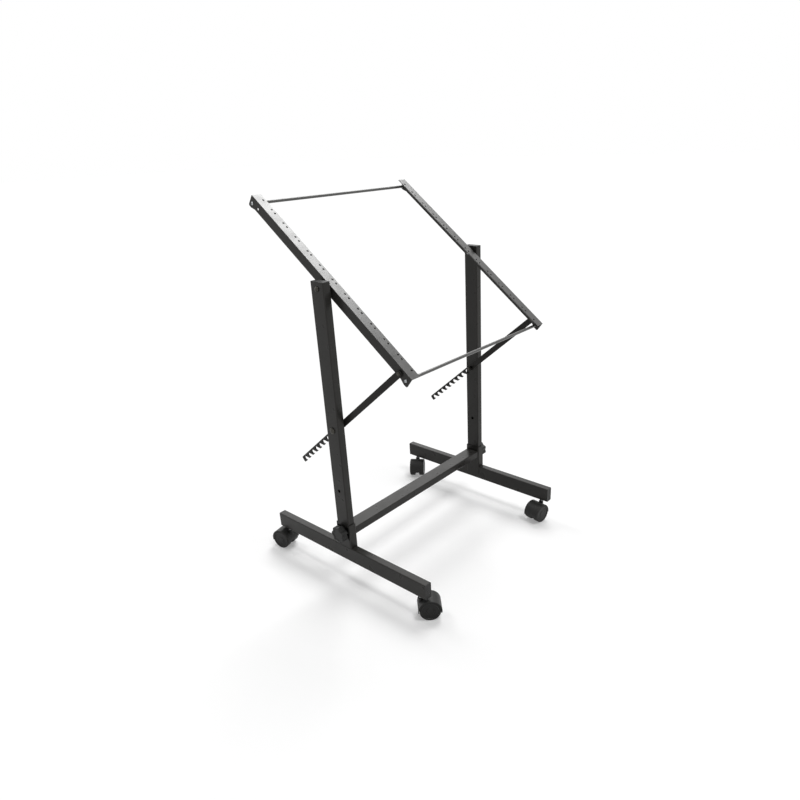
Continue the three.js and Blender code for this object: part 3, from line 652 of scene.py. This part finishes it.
# %% Rail blank
RAIL_OUTER, RAIL_INNER, RAIL_HALF = 250.5, 226.0, 280.0
SHEET, FOLD = 2.0, 1.2
FACE_Z, RAIL_DEPTH = 11.0, 22.0
ROD_Y, ROD_Z = 270.0, -4.0
EAR_DROP, EAR_ROUND, EAR_SLOPE = 4.0, 3.5, 12.0
flange_low = FACE_Z - RAIL_DEPTH
ear_low = flange_low - EAR_DROP
rail = block("rail", (-RAIL_OUTER, -RAIL_HALF, ear_low), (-RAIL_INNER, RAIL_HALF, FACE_Z))
round_edges(rail, FOLD, lambda a, b: past(Y, Z, FACE_Z - NEAR)(a, b) and a.x < NEAR - RAIL_OUTER,
            segments=6)
inside = block("inside", (SHEET - RAIL_OUTER, -RAIL_HALF - PUNCH_PAST, ear_low - PUNCH_PAST),
               (PUNCH_PAST - RAIL_INNER, RAIL_HALF + PUNCH_PAST, FACE_Z - SHEET))
combine(rail, "DIFFERENCE", inside)
round_edges(rail, EAR_ROUND, past(X, Z, ear_low + NEAR, -1), segments=6)
ear_start = ROD_Y - EAR_SLOPE
relief = block("relief", (-RAIL_OUTER - PUNCH_PAST, -ear_start, flange_low - 2 * EAR_DROP),
               (PUNCH_PAST - RAIL_INNER, ear_start, flange_low))
pick(relief, "FACE", facing(Z, -1))
bpy.ops.transform.resize(value=(1, (ear_start + 2 * EAR_SLOPE) / ear_start, 1), center_override=(0, 0, 0))
leave_edit()
combine(rail, "DIFFERENCE", relief)
print("rail length in mm:", 2 * RAIL_HALF)

# %% [markdown]
# The tapped holes follow the rack grid: two in each 44.45 mm unit, 6.35 mm from its edges. The
# sheet is thinner than a thread needs, so each hole is drawn into a short collar behind it, and
# the collar is why the holes look dark from the front. Collars go on first and all holes are then
# punched at once, so that each hole and its collar share one wall.

# %% Rail holes and collars
UNIT, UNITS, FROM_UNIT_EDGE, HOLE_LINE = 44.45, 12, 6.35, 465.1
HOLE_RADIUS, COLLAR, COLLAR_WALL = 2.4, 3.0, 1.2
first_edge = -UNIT * UNITS / 2
hole_places = [(-HOLE_LINE / 2, y) for k in range(UNITS)
               for y in (first_edge + k * UNIT + FROM_UNIT_EDGE,
                         first_edge + (k + 1) * UNIT - FROM_UNIT_EDGE)]
collar_low = FACE_Z - SHEET - COLLAR
collars = [drum("collar", Z, HOLE_RADIUS + COLLAR_WALL, collar_low, FACE_Z - SHEET / 2, place, sides=24)
           for place in hole_places]
combine(rail, "UNION", joined(collars))
punches = [drum("hole", Z, HOLE_RADIUS, collar_low - PUNCH_PAST, FACE_Z + PUNCH_PAST, place, sides=24)
           for place in hole_places]
print("rail holes each side:", len(hole_places))

# %% Flange holes and tilt
THREAD_RADIUS = 2.0
RIVET_Y, RIVET_Z, RIVET_RADIUS = 250.0, -3.0, 2.5
TILT = math.radians(37.2)
flange_wall = (-RAIL_OUTER - PUNCH_PAST, SHEET - RAIL_OUTER + PUNCH_PAST)
punches += [drum("hole", X, radius + FIT, *flange_wall, centre, sides=32) for radius, centre in (
    (THREAD_RADIUS, (-ROD_Y, ROD_Z)),
    (THREAD_RADIUS, (ROD_Y, ROD_Z)),
    (PIVOT_RADIUS, (0, 0)),
    (RIVET_RADIUS, (-RIVET_Y, RIVET_Z)),
    (RIVET_RADIUS, (RIVET_Y, RIVET_Z)))]
combine(rail, "DIFFERENCE", joined(punches))
deburr(rail, width=0.25)


def placed(y, z, turn=0.0):
    """A turn about the X axis, and then a move to y and z in millimetres."""
    return Matrix.Translation((0, y * MM, z * MM)) @ Matrix.Rotation(turn, 4, "X")


to_rest = placed(0, PIVOT_Z, TILT)
rail.data.transform(to_rest)
dress_both(rail, "rail", lit_rail_coat, "powder_coated_rail", "rack_frame")
print("rail tilt in degrees:", round(math.degrees(TILT), 1))

# %% [markdown]
# The rails' faces carry the lit copy of the coat, whose strong mirroring is painted sheen. The side
# flanges get the tubes' coat, which mirrors little, so they stay dark as painted shade on what is
# one coat. The faces of a flange are picked by their place and by not facing the way that the
# rail's face does.

# %% Flanges in the tubes' coat, as painted shade
TURNED_ASIDE = 0.7
face_up = to_rest.to_3x3() @ Vector((0, 0, 1))
for side in ("left", "right"):
    rail = bpy.data.objects[f"rail_{side}_piece"]
    rail.data.materials.append(tube_coat)
    pick(rail, "FACE", lambda centre, normal: (abs(centre.x) > RAIL_OUTER - SHEET - FIT
                                               and abs(normal.dot(face_up)) < TURNED_ASIDE))
    rail.active_material_index = 1
    bpy.ops.object.material_slot_assign()
    leave_edit()
    print(rail.name, "satin faces:", sum(face.material_index for face in rail.data.polygons))

# %% [markdown]
# ## Tie rods
# A round bar at each end keeps the rails parallel. It is plain bar stock, turned square at the
# ends with a small chamfer, and tapped for the screws that come through the ears. The tapped hole
# is made by an inset and an inward extrude, which needs no Boolean.

# %% Tie rods
ROD_RADIUS, TAP_BORDER, TAP_DEPTH = 3.5, 1.3, 8.0
rod_half = RAIL_OUTER - SHEET - FIT
for name, y in (("top_tie_rod", ROD_Y), ("bottom_tie_rod", -ROD_Y)):
    rod = drum(f"{name}_piece", X, ROD_RADIUS, -rod_half, rod_half, (y, ROD_Z))
    pick(rod, "FACE", facing(X))
    bpy.ops.mesh.inset(thickness=TAP_BORDER * MM)
    bpy.ops.mesh.extrude_region_shrink_fatten(TRANSFORM_OT_shrink_fatten={"value": -TAP_DEPTH * MM})
    leave_edit()
    deburr(rod, width=0.4)
    rod.data.transform(to_rest)
    dress(rod, lit_rail_coat, "powder_coated_rail", "rack_frame", name)
print("rod length in mm:", round(2 * rod_half, 1))

# %% [markdown]
# ## Bolts and screws
# The fasteners have domed heads. One function makes them all: a short drum is the head, and its
# outer face is inset and raised in rings that follow a dome. The screws get a six-sided pocket
# in the crown, and the pivot bolts, pins and rivets stay plain. A shank is joined on behind, and
# starts inside the head, so that the two unite cleanly.

# %% Domed bolts
RIM_SHARE, DOME_SHARE, SHANK_START_SHARE = 0.35, 0.65, 0.2
DOME_STEP_SHARES = ((0.14, 0.55), (0.18, 0.3), (0.2, 0.12), (0.2, 0.03))
SOCKET_SHARE, SOCKET_FLOOR_SHARE = 0.36, 0.3
TIP_ROUND = 0.6


def ring_at(x):
    """A test for the edges round the inner end, at x, of a shank on the left side."""
    return lambda a, b: min(a.x, b.x) > x - 0.1


def domed_bolt(name, seat, tip, shank, head, height, socket=True):
    """A left-hand bolt on the X axis: its head lies outside seat, and its shank runs in to tip.
    Shank and head are radii."""
    bolt = drum(name, X, head, -seat - height * RIM_SHARE, -seat)
    step_in(bolt, facing(X, -1), *((head * inwards, height * DOME_SHARE * upwards)
                                   for inwards, upwards in DOME_STEP_SHARES))
    stalk = drum("shank", X, shank, -seat - height * SHANK_START_SHARE, -tip, sides=32)
    round_edges(stalk, TIP_ROUND, ring_at(-tip), segments=2)
    combine(bolt, "UNION", stalk)
    if socket:
        combine(bolt, "DIFFERENCE", drum("socket", X, head * SOCKET_SHARE, -seat - height - REACH,
                                         -seat - height * SOCKET_FLOOR_SHARE, sides=6))
    deburr(bolt, width=0.2, angle=50)
    return bolt


print("domed bolts ready")

# %% Pivot bolts, pins and screws
seat = UPRIGHT_OUTER + FIT
pivot_bolt = domed_bolt("bolt", seat, tip=240.2, shank=PIVOT_RADIUS, head=5.75, height=3.4, socket=False)
pivot_bolt.data.transform(placed(0, PIVOT_Z))
dress_both(pivot_bolt, "pivot_bolt", black_oxide, "blackened_steel")
pin = domed_bolt("pin", seat, tip=238.0, shank=PIN_RADIUS, head=8.0, height=3.0, socket=False)
pin.data.transform(placed(0, PIN_Z))
dress_both(pin, "support_pin", black_oxide, "blackened_steel")
lip_screw = domed_bolt("screw", seat, tip=270.3, shank=LIP_SCREW_RADIUS, head=3.8, height=1.5)
lip_screw.data.transform(placed(LIP_SCREW_Y, LIP_SCREW_Z))
dress_both(lip_screw, "lip_screw", black_oxide, "blackened_steel")
for name, y in (("top_rod_screw", ROD_Y), ("bottom_rod_screw", -ROD_Y)):
    screw = domed_bolt("screw", RAIL_OUTER + FIT, tip=233.1, shank=THREAD_RADIUS, head=3.6, height=2.2)
    screw.data.transform(to_rest @ placed(y, ROD_Z))
    dress_both(screw, name, zinc_plate, "zinc_plated_steel", "rack_frame")
print("domed fasteners: 10")

# %% [markdown]
# The pivot has a plastic bush between upright and rail, so that the two never rub, and a nut
# inside the rail. The nut is a six-sided drum whose corners are chamfered, with a round collar.

# %% Pivot bushes and nuts
BUSH_RADIUS = 8.0
bush = drum("bush", X, BUSH_RADIUS, -UPRIGHT_INNER + FIT, -RAIL_OUTER - FIT, (0, PIVOT_Z))
combine(bush, "DIFFERENCE", drum("bore", X, PIVOT_RADIUS + FIT, -UPRIGHT_INNER - REACH,
                                 REACH - RAIL_OUTER, (0, PIVOT_Z)))
deburr(bush, width=0.5, segments=3)
dress_both(bush, "pivot_spacer", grained_abs, "moulded_plastic")
NUT_CORNER, NUT_HEIGHT, THREAD_FIT = 5.77, 5.0, 0.1
NUT_COLLAR, NUT_COLLAR_RADIUS = 1.3, 4.6
nut_top = NUT_HEIGHT - rod_half
nut = drum("nut", X, NUT_CORNER, -rod_half, nut_top - NUT_COLLAR, (0, PIVOT_Z), sides=6)
combine(nut, "UNION", drum("collar", X, NUT_COLLAR_RADIUS, -rod_half + REACH, nut_top, (0, PIVOT_Z)))
combine(nut, "DIFFERENCE", drum("bore", X, PIVOT_RADIUS + THREAD_FIT, -rod_half - REACH,
                                nut_top + REACH, (0, PIVOT_Z)))
deburr(nut, width=0.5)
dress_both(nut, "pivot_nut", zinc_plate, "zinc_plated_steel")
print("nut height in mm:", NUT_HEIGHT)

# %% [markdown]
# ## Support arms
# Each arm is a flat bar with a round head at its rivet and a row of hooked notches along its lower
# edge, like a saw with slanted teeth. Each notch is cut by a block with a rounded end, turned so
# that its slot runs out towards the rivet and the pin cannot slip out under load. The rounds stop
# just short of a half circle, because two that met exactly would leave doubled edges. The rivet
# and the first notch give the bar's length and slope, and it lies along Y at first.

# %% Arm reach and slope
ARM_HALF, TAIL, TAIL_ROUND = 7.5, 13.0, 3.0
NOTCHES, NOTCH_PITCH, NOTCH_RADIUS, NOTCH_DROP = 10, 20.4, 4.7, 0.8
rivet_angle = math.atan2(RIVET_Z, -RIVET_Y) + TILT
rivet_reach = math.hypot(RIVET_Y, RIVET_Z)
rivet_y = rivet_reach * math.cos(rivet_angle)
rivet_z = rivet_reach * math.sin(rivet_angle) + PIVOT_Z
pin_reach = math.hypot(rivet_y, rivet_z - PIN_Z)
first_notch = math.sqrt(pin_reach ** 2 - NOTCH_DROP ** 2)
arm_length = first_notch + (NOTCHES - 1) * NOTCH_PITCH + TAIL
arm_slope = math.atan2(PIN_Z - rivet_z, -rivet_y) + math.asin(NOTCH_DROP / pin_reach)
to_arm = placed(rivet_y, rivet_z, arm_slope)
print("arm length in mm:", round(arm_length), "slope:", round(math.degrees(arm_slope), 1))

# %% Support arms
ARM_INNER, ARM_OUTER = 251.5, 254.5
HEAD_ROUND_SHARE, SEAT_ROUND_SHARE = 0.95, 0.94
NOTCH_SLANT = math.radians(46)
arm = block("arm", (-ARM_OUTER, -ARM_HALF, -ARM_HALF), (-ARM_INNER, arm_length, ARM_HALF))
round_edges(arm, TAIL_ROUND, past(X, Y, arm_length - NEAR), segments=6)
round_edges(arm, HEAD_ROUND_SHARE * ARM_HALF, past(X, Y, 0, -1), segments=16)
arm_wall = (-ARM_OUTER - PUNCH_PAST, -ARM_INNER + PUNCH_PAST)
cutters = [drum("bore", X, RIVET_RADIUS + FIT, *arm_wall)]
for k in range(NOTCHES):
    notch = block("notch", (arm_wall[0], -3 * ARM_HALF, -NOTCH_RADIUS),
                  (arm_wall[1], NOTCH_RADIUS, NOTCH_RADIUS))
    round_edges(notch, SEAT_ROUND_SHARE * NOTCH_RADIUS, past(X, Y, 0), segments=8)
    notch.data.transform(placed(first_notch + k * NOTCH_PITCH, -NOTCH_DROP, NOTCH_SLANT))
    cutters.append(notch)
combine(arm, "DIFFERENCE", joined(cutters))
deburr(arm)
arm.data.transform(to_arm)
dress_both(arm, "support_arm", arm_coat, "powder_coated_rail", "support_arm", sided_body=True)
print("notches on each arm:", NOTCHES)

# %% [markdown]
# The rivet that the arm turns on has a low dome outside and a formed tail inside the rail. It is
# one more domed bolt, and a short drum is its tail.

# %% Arm rivets
RIVET_TAIL, RIVET_TAIL_RADIUS = 2.0, 4.0
rivet = domed_bolt("rivet", ARM_OUTER + FIT, tip=rod_half - REACH, shank=RIVET_RADIUS, head=4.5,
                   height=2.0, socket=False)
combine(rivet, "UNION", drum("tail", X, RIVET_TAIL_RADIUS, -rod_half, RIVET_TAIL - rod_half))
rivet.data.transform(to_arm)
dress_both(rivet, "arm_rivet", black_oxide, "blackened_steel", "rack_frame")
print("rivets: 2")

# %% [markdown]
# ## Clamp knobs
# The hand knobs are moulded star knobs with seven soft lobes. The head is a drum whose rim is
# moved in and out along a wave, with a rounded rim and a shallow dish in its face, and a long
# hub reaches through the window to the upright's inner wall. The wave is a formula, so that all
# lobes are alike.

# %% Knob heads
KNOB_RADIUS, KNOB_WAVE, LOBES, KNOB_ROUND = 20.0, 1.8, 7, 2.2
KNOB_BACK, KNOB_FRONT = 280.0, 297.0
# Each step of the dish: the share of its width that is left, and how far it sinks in mm.
DISH_STEPS = ((0.8, 0.0), (0.94, 1.0), (0.5, 0.0))
knob = drum("knob", X, KNOB_RADIUS, -KNOB_FRONT, -KNOB_BACK, sides=112)
for vertex in knob.data.vertices:
    angle = math.atan2(vertex.co.z, vertex.co.y)
    wave = 1 + (KNOB_WAVE / KNOB_RADIUS) * math.cos(LOBES * angle)
    vertex.co.y *= wave
    vertex.co.z *= wave
round_edges(knob, KNOB_ROUND, rings)
pick(knob, "FACE", facing(X, -1))
for share, sunk in DISH_STEPS:
    bpy.ops.mesh.extrude_region_move(TRANSFORM_OT_translate={"value": (sunk * MM, 0, 0)})
    bpy.ops.transform.resize(value=(1, share, share), center_override=(-KNOB_FRONT * MM, 0, 0))
leave_edit()
print("knob width in mm:", 2 * (KNOB_RADIUS + KNOB_WAVE))

# %% Knob hubs and screws
HUB_RADIUS, HUB_IN_KNOB = 10.0, 8.0
SCREW_IN_HUB, SCREW_TIP = 2.0, 241.8
hub_end = -UPRIGHT_INNER - WALL
hub = drum("hub", X, HUB_RADIUS, -KNOB_BACK - HUB_IN_KNOB, hub_end - FIT)
screw = drum("screw", X, CLAMP_RADIUS, hub_end - SCREW_IN_HUB, -SCREW_TIP, sides=32)
round_edges(screw, TIP_ROUND, ring_at(-SCREW_TIP), segments=2)
combine(hub, "UNION", screw)
combine(knob, "UNION", hub)
select_only(knob)
bpy.ops.object.shade_smooth_by_angle(angle=SMOOTH_ANGLE)
knob.data.transform(placed(0, CLAMP_Z))
dress_both(knob, "clamp_knob", grained_abs, "moulded_plastic", "clamp_knob", sided_body=True)
print("knobs: 2")

# %% [markdown]
# ## Casters
# Each caster is a steel stem, a moulded hood that swivels on it, and two wheels on one axle. The
# hood is a shell over the upper half of both wheels with a web between them. It is modelled once,
# with its stem at the origin and its wheels towards -Y, and then copied to each corner and turned
# to where that caster points. A drum is hollowed from both sides, which leaves the web, and a
# tilted block cuts it off below. The boss and the socket stay a little inside the web's faces,
# because faces that lie almost on each other leave slivers when they unite.

# %% Caster hood shell
WHEEL_RADIUS, TRAIL, WEB = 25.0, 20.0, 6.5
HOOD_GAP, HOOD_SHELL, HOOD_HALF, HOOD_ROUND = 0.8, 2.2, 22.3, 1.6
CUT_HALF, CUT_REACH, CUT_Z, CUT_SLOPE = 30.0, 60.0, 20.6, math.radians(2.9)
axle = (-TRAIL, WHEEL_RADIUS)
room_radius = WHEEL_RADIUS + HOOD_GAP
hood = drum("hood", X, room_radius + HOOD_SHELL, -HOOD_HALF, HOOD_HALF, axle, sides=96)
round_edges(hood, HOOD_ROUND, rings)
rooms = [drum("room", X, room_radius, side * WEB, side * (HOOD_HALF + PUNCH_PAST), axle, sides=96)
         for side in (-1, 1)]
lower = block("lower", (-CUT_HALF, -CUT_REACH, -CUT_REACH), (CUT_HALF, CUT_REACH, 0))
lower.data.transform(placed(-TRAIL, CUT_Z, CUT_SLOPE))
combine(hood, "DIFFERENCE", *rooms, lower)
print("hood radius in mm:", room_radius + HOOD_SHELL)

# %% Caster hood boss and socket
INSET = 0.3
BOSS_RADIUS, RIB_HALF, RIB_BELOW_TOP = 9.0, 4.0, 4.0
HOOD_TOP, HOOD_LOW = 51.5, 30.0
STEM_LOW, AXLE_RADIUS = 32.5, 2.5
boss = drum("boss", X, BOSS_RADIUS, INSET - WEB, WEB - INSET, axle)
socket = drum("socket", Z, WEB - INSET, HOOD_LOW, HOOD_TOP)
rib = block("rib", (-RIB_HALF, -TRAIL, HOOD_LOW), (RIB_HALF, 0, HOOD_TOP - RIB_BELOW_TOP))
combine(hood, "UNION", boss, rib, socket)
combine(hood, "DIFFERENCE",
        drum("bore", Z, STEM_RADIUS + FIT, STEM_LOW - FIT, HOOD_TOP + PUNCH_PAST),
        drum("bore", X, AXLE_RADIUS + FIT, -HOOD_HALF, HOOD_HALF, axle))
deburr(hood, width=0.5, angle=40)
print("socket height in mm:", HOOD_TOP - HOOD_LOW)

# %% [markdown]
# The wheel starts as a drum. Its tread edges are rounded, its outer face is dished and carries a
# round hub cap, and its inner face is hollowed, as a moulded wheel's is. Both faces are made by
# insets that rise or sink, because each ring then joins the next with no gap.

# %% Caster wheel
WHEEL_INNER, WHEEL_OUTER, TREAD_ROUND = 6.8, 22.3, 1.5
WHEEL_HUB_RADIUS, WHEEL_HUB_DEPTH, AXLE_HALF = 5.0, 5.0, 18.4
# Each step's width and rise in mm: the rim, the dish's wall and floor, a groove and the cap.
FACE_STEPS = ((3.0, 0), (0.8, -1.2), (9.5, 0), (0.5, -0.5), (0.8, 1.1))
# The inner face has only a rim and a deep hollow.
BACK_STEPS = ((2.5, 0), (0.4, -8))
wheel = drum("wheel", X, WHEEL_RADIUS, -WHEEL_OUTER, -WHEEL_INNER, axle, sides=72)
round_edges(wheel, TREAD_ROUND, rings)
step_in(wheel, facing(X, -1), *FACE_STEPS)
step_in(wheel, facing(X, 1), *BACK_STEPS)
combine(wheel, "UNION", drum("hub", X, WHEEL_HUB_RADIUS, -WHEEL_OUTER + WHEEL_HUB_DEPTH,
                             -WHEEL_INNER, axle))
combine(wheel, "DIFFERENCE", drum("bore", X, AXLE_RADIUS + FIT, -AXLE_HALF - FIT,
                                  -WHEEL_INNER + REACH, axle))
deburr(wheel, width=0.2, angle=40)
print("wheel width in mm:", WHEEL_OUTER - WHEEL_INNER)

# %% Caster stem and axle
STEM_HIGH, STEM_COLLAR, STEM_COLLAR_RADIUS = 72.0, (58.2, 59.7), 6.5
stem = drum("stem", Z, STEM_RADIUS, STEM_LOW, STEM_HIGH)
combine(stem, "UNION", drum("collar", Z, STEM_COLLAR_RADIUS, *STEM_COLLAR))
deburr(stem)
pivot_rod = drum("axle", X, AXLE_RADIUS, -AXLE_HALF, AXLE_HALF, axle)
deburr(pivot_rod, width=0.4)
print("stem length in mm:", STEM_HIGH - STEM_LOW)

# %% [markdown]
# A swivel caster points where it was last pushed, so each corner has a heading of its own, read
# from the photograph for the near ones and guessed for the far ones. Every corner gets copies
# with meshes of their own, and the second wheel is the first one's mirror image.

# %% Casters at the four corners
HEADINGS = {"front_left": 45, "front_right": -98, "rear_left": 192, "rear_right": -55}
for corner, heading in HEADINGS.items():
    end, side = corner.split("_")
    place = Vector((FOOT_CENTRE if side == "left" else -FOOT_CENTRE,
                    -CASTER_Y if end == "front" else CASTER_Y, 0))
    spot = Matrix.Translation(place * MM) @ Matrix.Rotation(math.radians(heading), 4, "Z")
    swivel = f"caster_{corner}"
    for model, kind, finish, slot, body in (
            (hood, "hood", grained_abs, "moulded_plastic", swivel),
            (pivot_rod, "axle", zinc_plate, "zinc_plated_steel", swivel),
            (stem, "stem", zinc_plate, "zinc_plated_steel", "base")):
        dress(copied(model, f"{kind}_{corner}_piece", spot), finish, slot, body, f"caster_{kind}_{corner}")
    for letter, turned in (("a", spot), ("b", spot @ MIRROR)):
        dress(copied(wheel, f"wheel_{letter}_{corner}_piece", turned), wheel_nylon, "wheel_nylon",
              f"wheel_{letter}_{corner}", f"caster_wheel_{letter}_{corner}")
for model in (hood, wheel, stem, pivot_rod):
    bpy.data.objects.remove(model)
print("casters:", len(HEADINGS))

# %% [markdown]
# ## Floor and light
# The stand is on white paper under several soft boxes, so the upper faces are grey, the fronts
# darker and the left sides darkest. The paper shows white to the camera and to the reflections
# in the paint, and a plain pale grey to the light that bounces off it: if it also lit the stand
# by its own glow, the undersides would be too bright.

# %% Floor
FLOOR_SIZE = 60
PAPER, PAPER_LIFT = 0.74, 0.29


def seen(tree):
    """A value that is 1 for what the camera sees, also in a reflection, and 0 for bounced light."""
    path = add(tree, "ShaderNodeLightPath")
    in_sight = add(tree, "ShaderNodeMath", {
        0: path.outputs["Is Camera Ray"], 1: path.outputs["Is Glossy Ray"]}, operation="MAXIMUM")
    in_any_way = add(tree, "ShaderNodeMath", {
        0: in_sight.outputs["Value"], 1: path.outputs["Is Transmission Ray"]}, operation="MAXIMUM")
    return in_any_way.outputs["Value"]


bpy.ops.mesh.primitive_plane_add(size=FLOOR_SIZE, location=(0, 0, 0))
floor = bpy.context.object
floor.name = "floor"
paper, tree, output = new_material("white_paper")
sheet = add(tree, "ShaderNodeBsdfDiffuse", {"Color": (PAPER, PAPER, PAPER, 1)})
glow = add(tree, "ShaderNodeEmission", {"Color": (1, 1, 1, 1), "Strength": PAPER_LIFT})
dark = add(tree, "ShaderNodeEmission", {"Color": (0, 0, 0, 1), "Strength": 0.0})
lift = add(tree, "ShaderNodeMixShader", {0: seen(tree), 1: dark.outputs[0], 2: glow.outputs[0]})
paper_sum = add(tree, "ShaderNodeAddShader", {0: sheet.outputs[0], 1: lift.outputs[0]})
tree.links.new(paper_sum.outputs[0], output.inputs["Surface"])
floor.data.materials.append(paper)
print("floor paper:", paper.name)

# %% [markdown]
# The world works the same way: it shows white, but lights the stand with only a weak fill. The
# soft boxes are four wide suns. The key is mirrored in the rails' faces, the front and back ones
# give the crossbar its two soft shadows, and the window is a weak one from the right rear.

# %% World
FILL = 0.13
world = bpy.data.worlds.new("studio")
bpy.context.scene.world = world
world.use_nodes = True
tree = world.node_tree
tree.nodes.clear()
output = add(tree, "ShaderNodeOutputWorld")
fill = add(tree, "ShaderNodeBackground", {"Color": (1, 1, 1, 1), "Strength": FILL})
white = add(tree, "ShaderNodeBackground", {"Color": (1, 1, 1, 1), "Strength": 1.0})
choice = add(tree, "ShaderNodeMixShader", {0: seen(tree), 1: fill.outputs[0], 2: white.outputs[0]})
tree.links.new(choice.outputs[0], output.inputs["Surface"])
print("fill:", FILL)

# %% Soft lamps
# Each lamp's strength, its width in degrees and the direction it stands in.
LAMPS = {
    "key": (1.5, 28, (0.55, 0.18, 0.82)),
    "front": (1.0, 18, (0.06, -0.42, 0.91)),
    "back": (0.65, 16, (0.06, 0.76, 0.65)),
    "window": (0.42, 32, (0.55, 0.62, 0.56)),
}
LAMP_DISTANCE = 3
for name, (strength, width_degrees, towards) in LAMPS.items():
    lamp_data = bpy.data.lights.new(name, "SUN")
    lamp_data.energy = strength
    lamp_data.angle = math.radians(width_degrees)
    lamp = bpy.data.objects.new(name, lamp_data)
    bpy.context.collection.objects.link(lamp)
    lamp.location = Vector(towards) * LAMP_DISTANCE
    lamp.rotation_euler = Vector(towards).to_track_quat("Z", "Y").to_euler()
bpy.context.scene.view_settings.view_transform = "Standard"
print("lamps:", list(LAMPS))
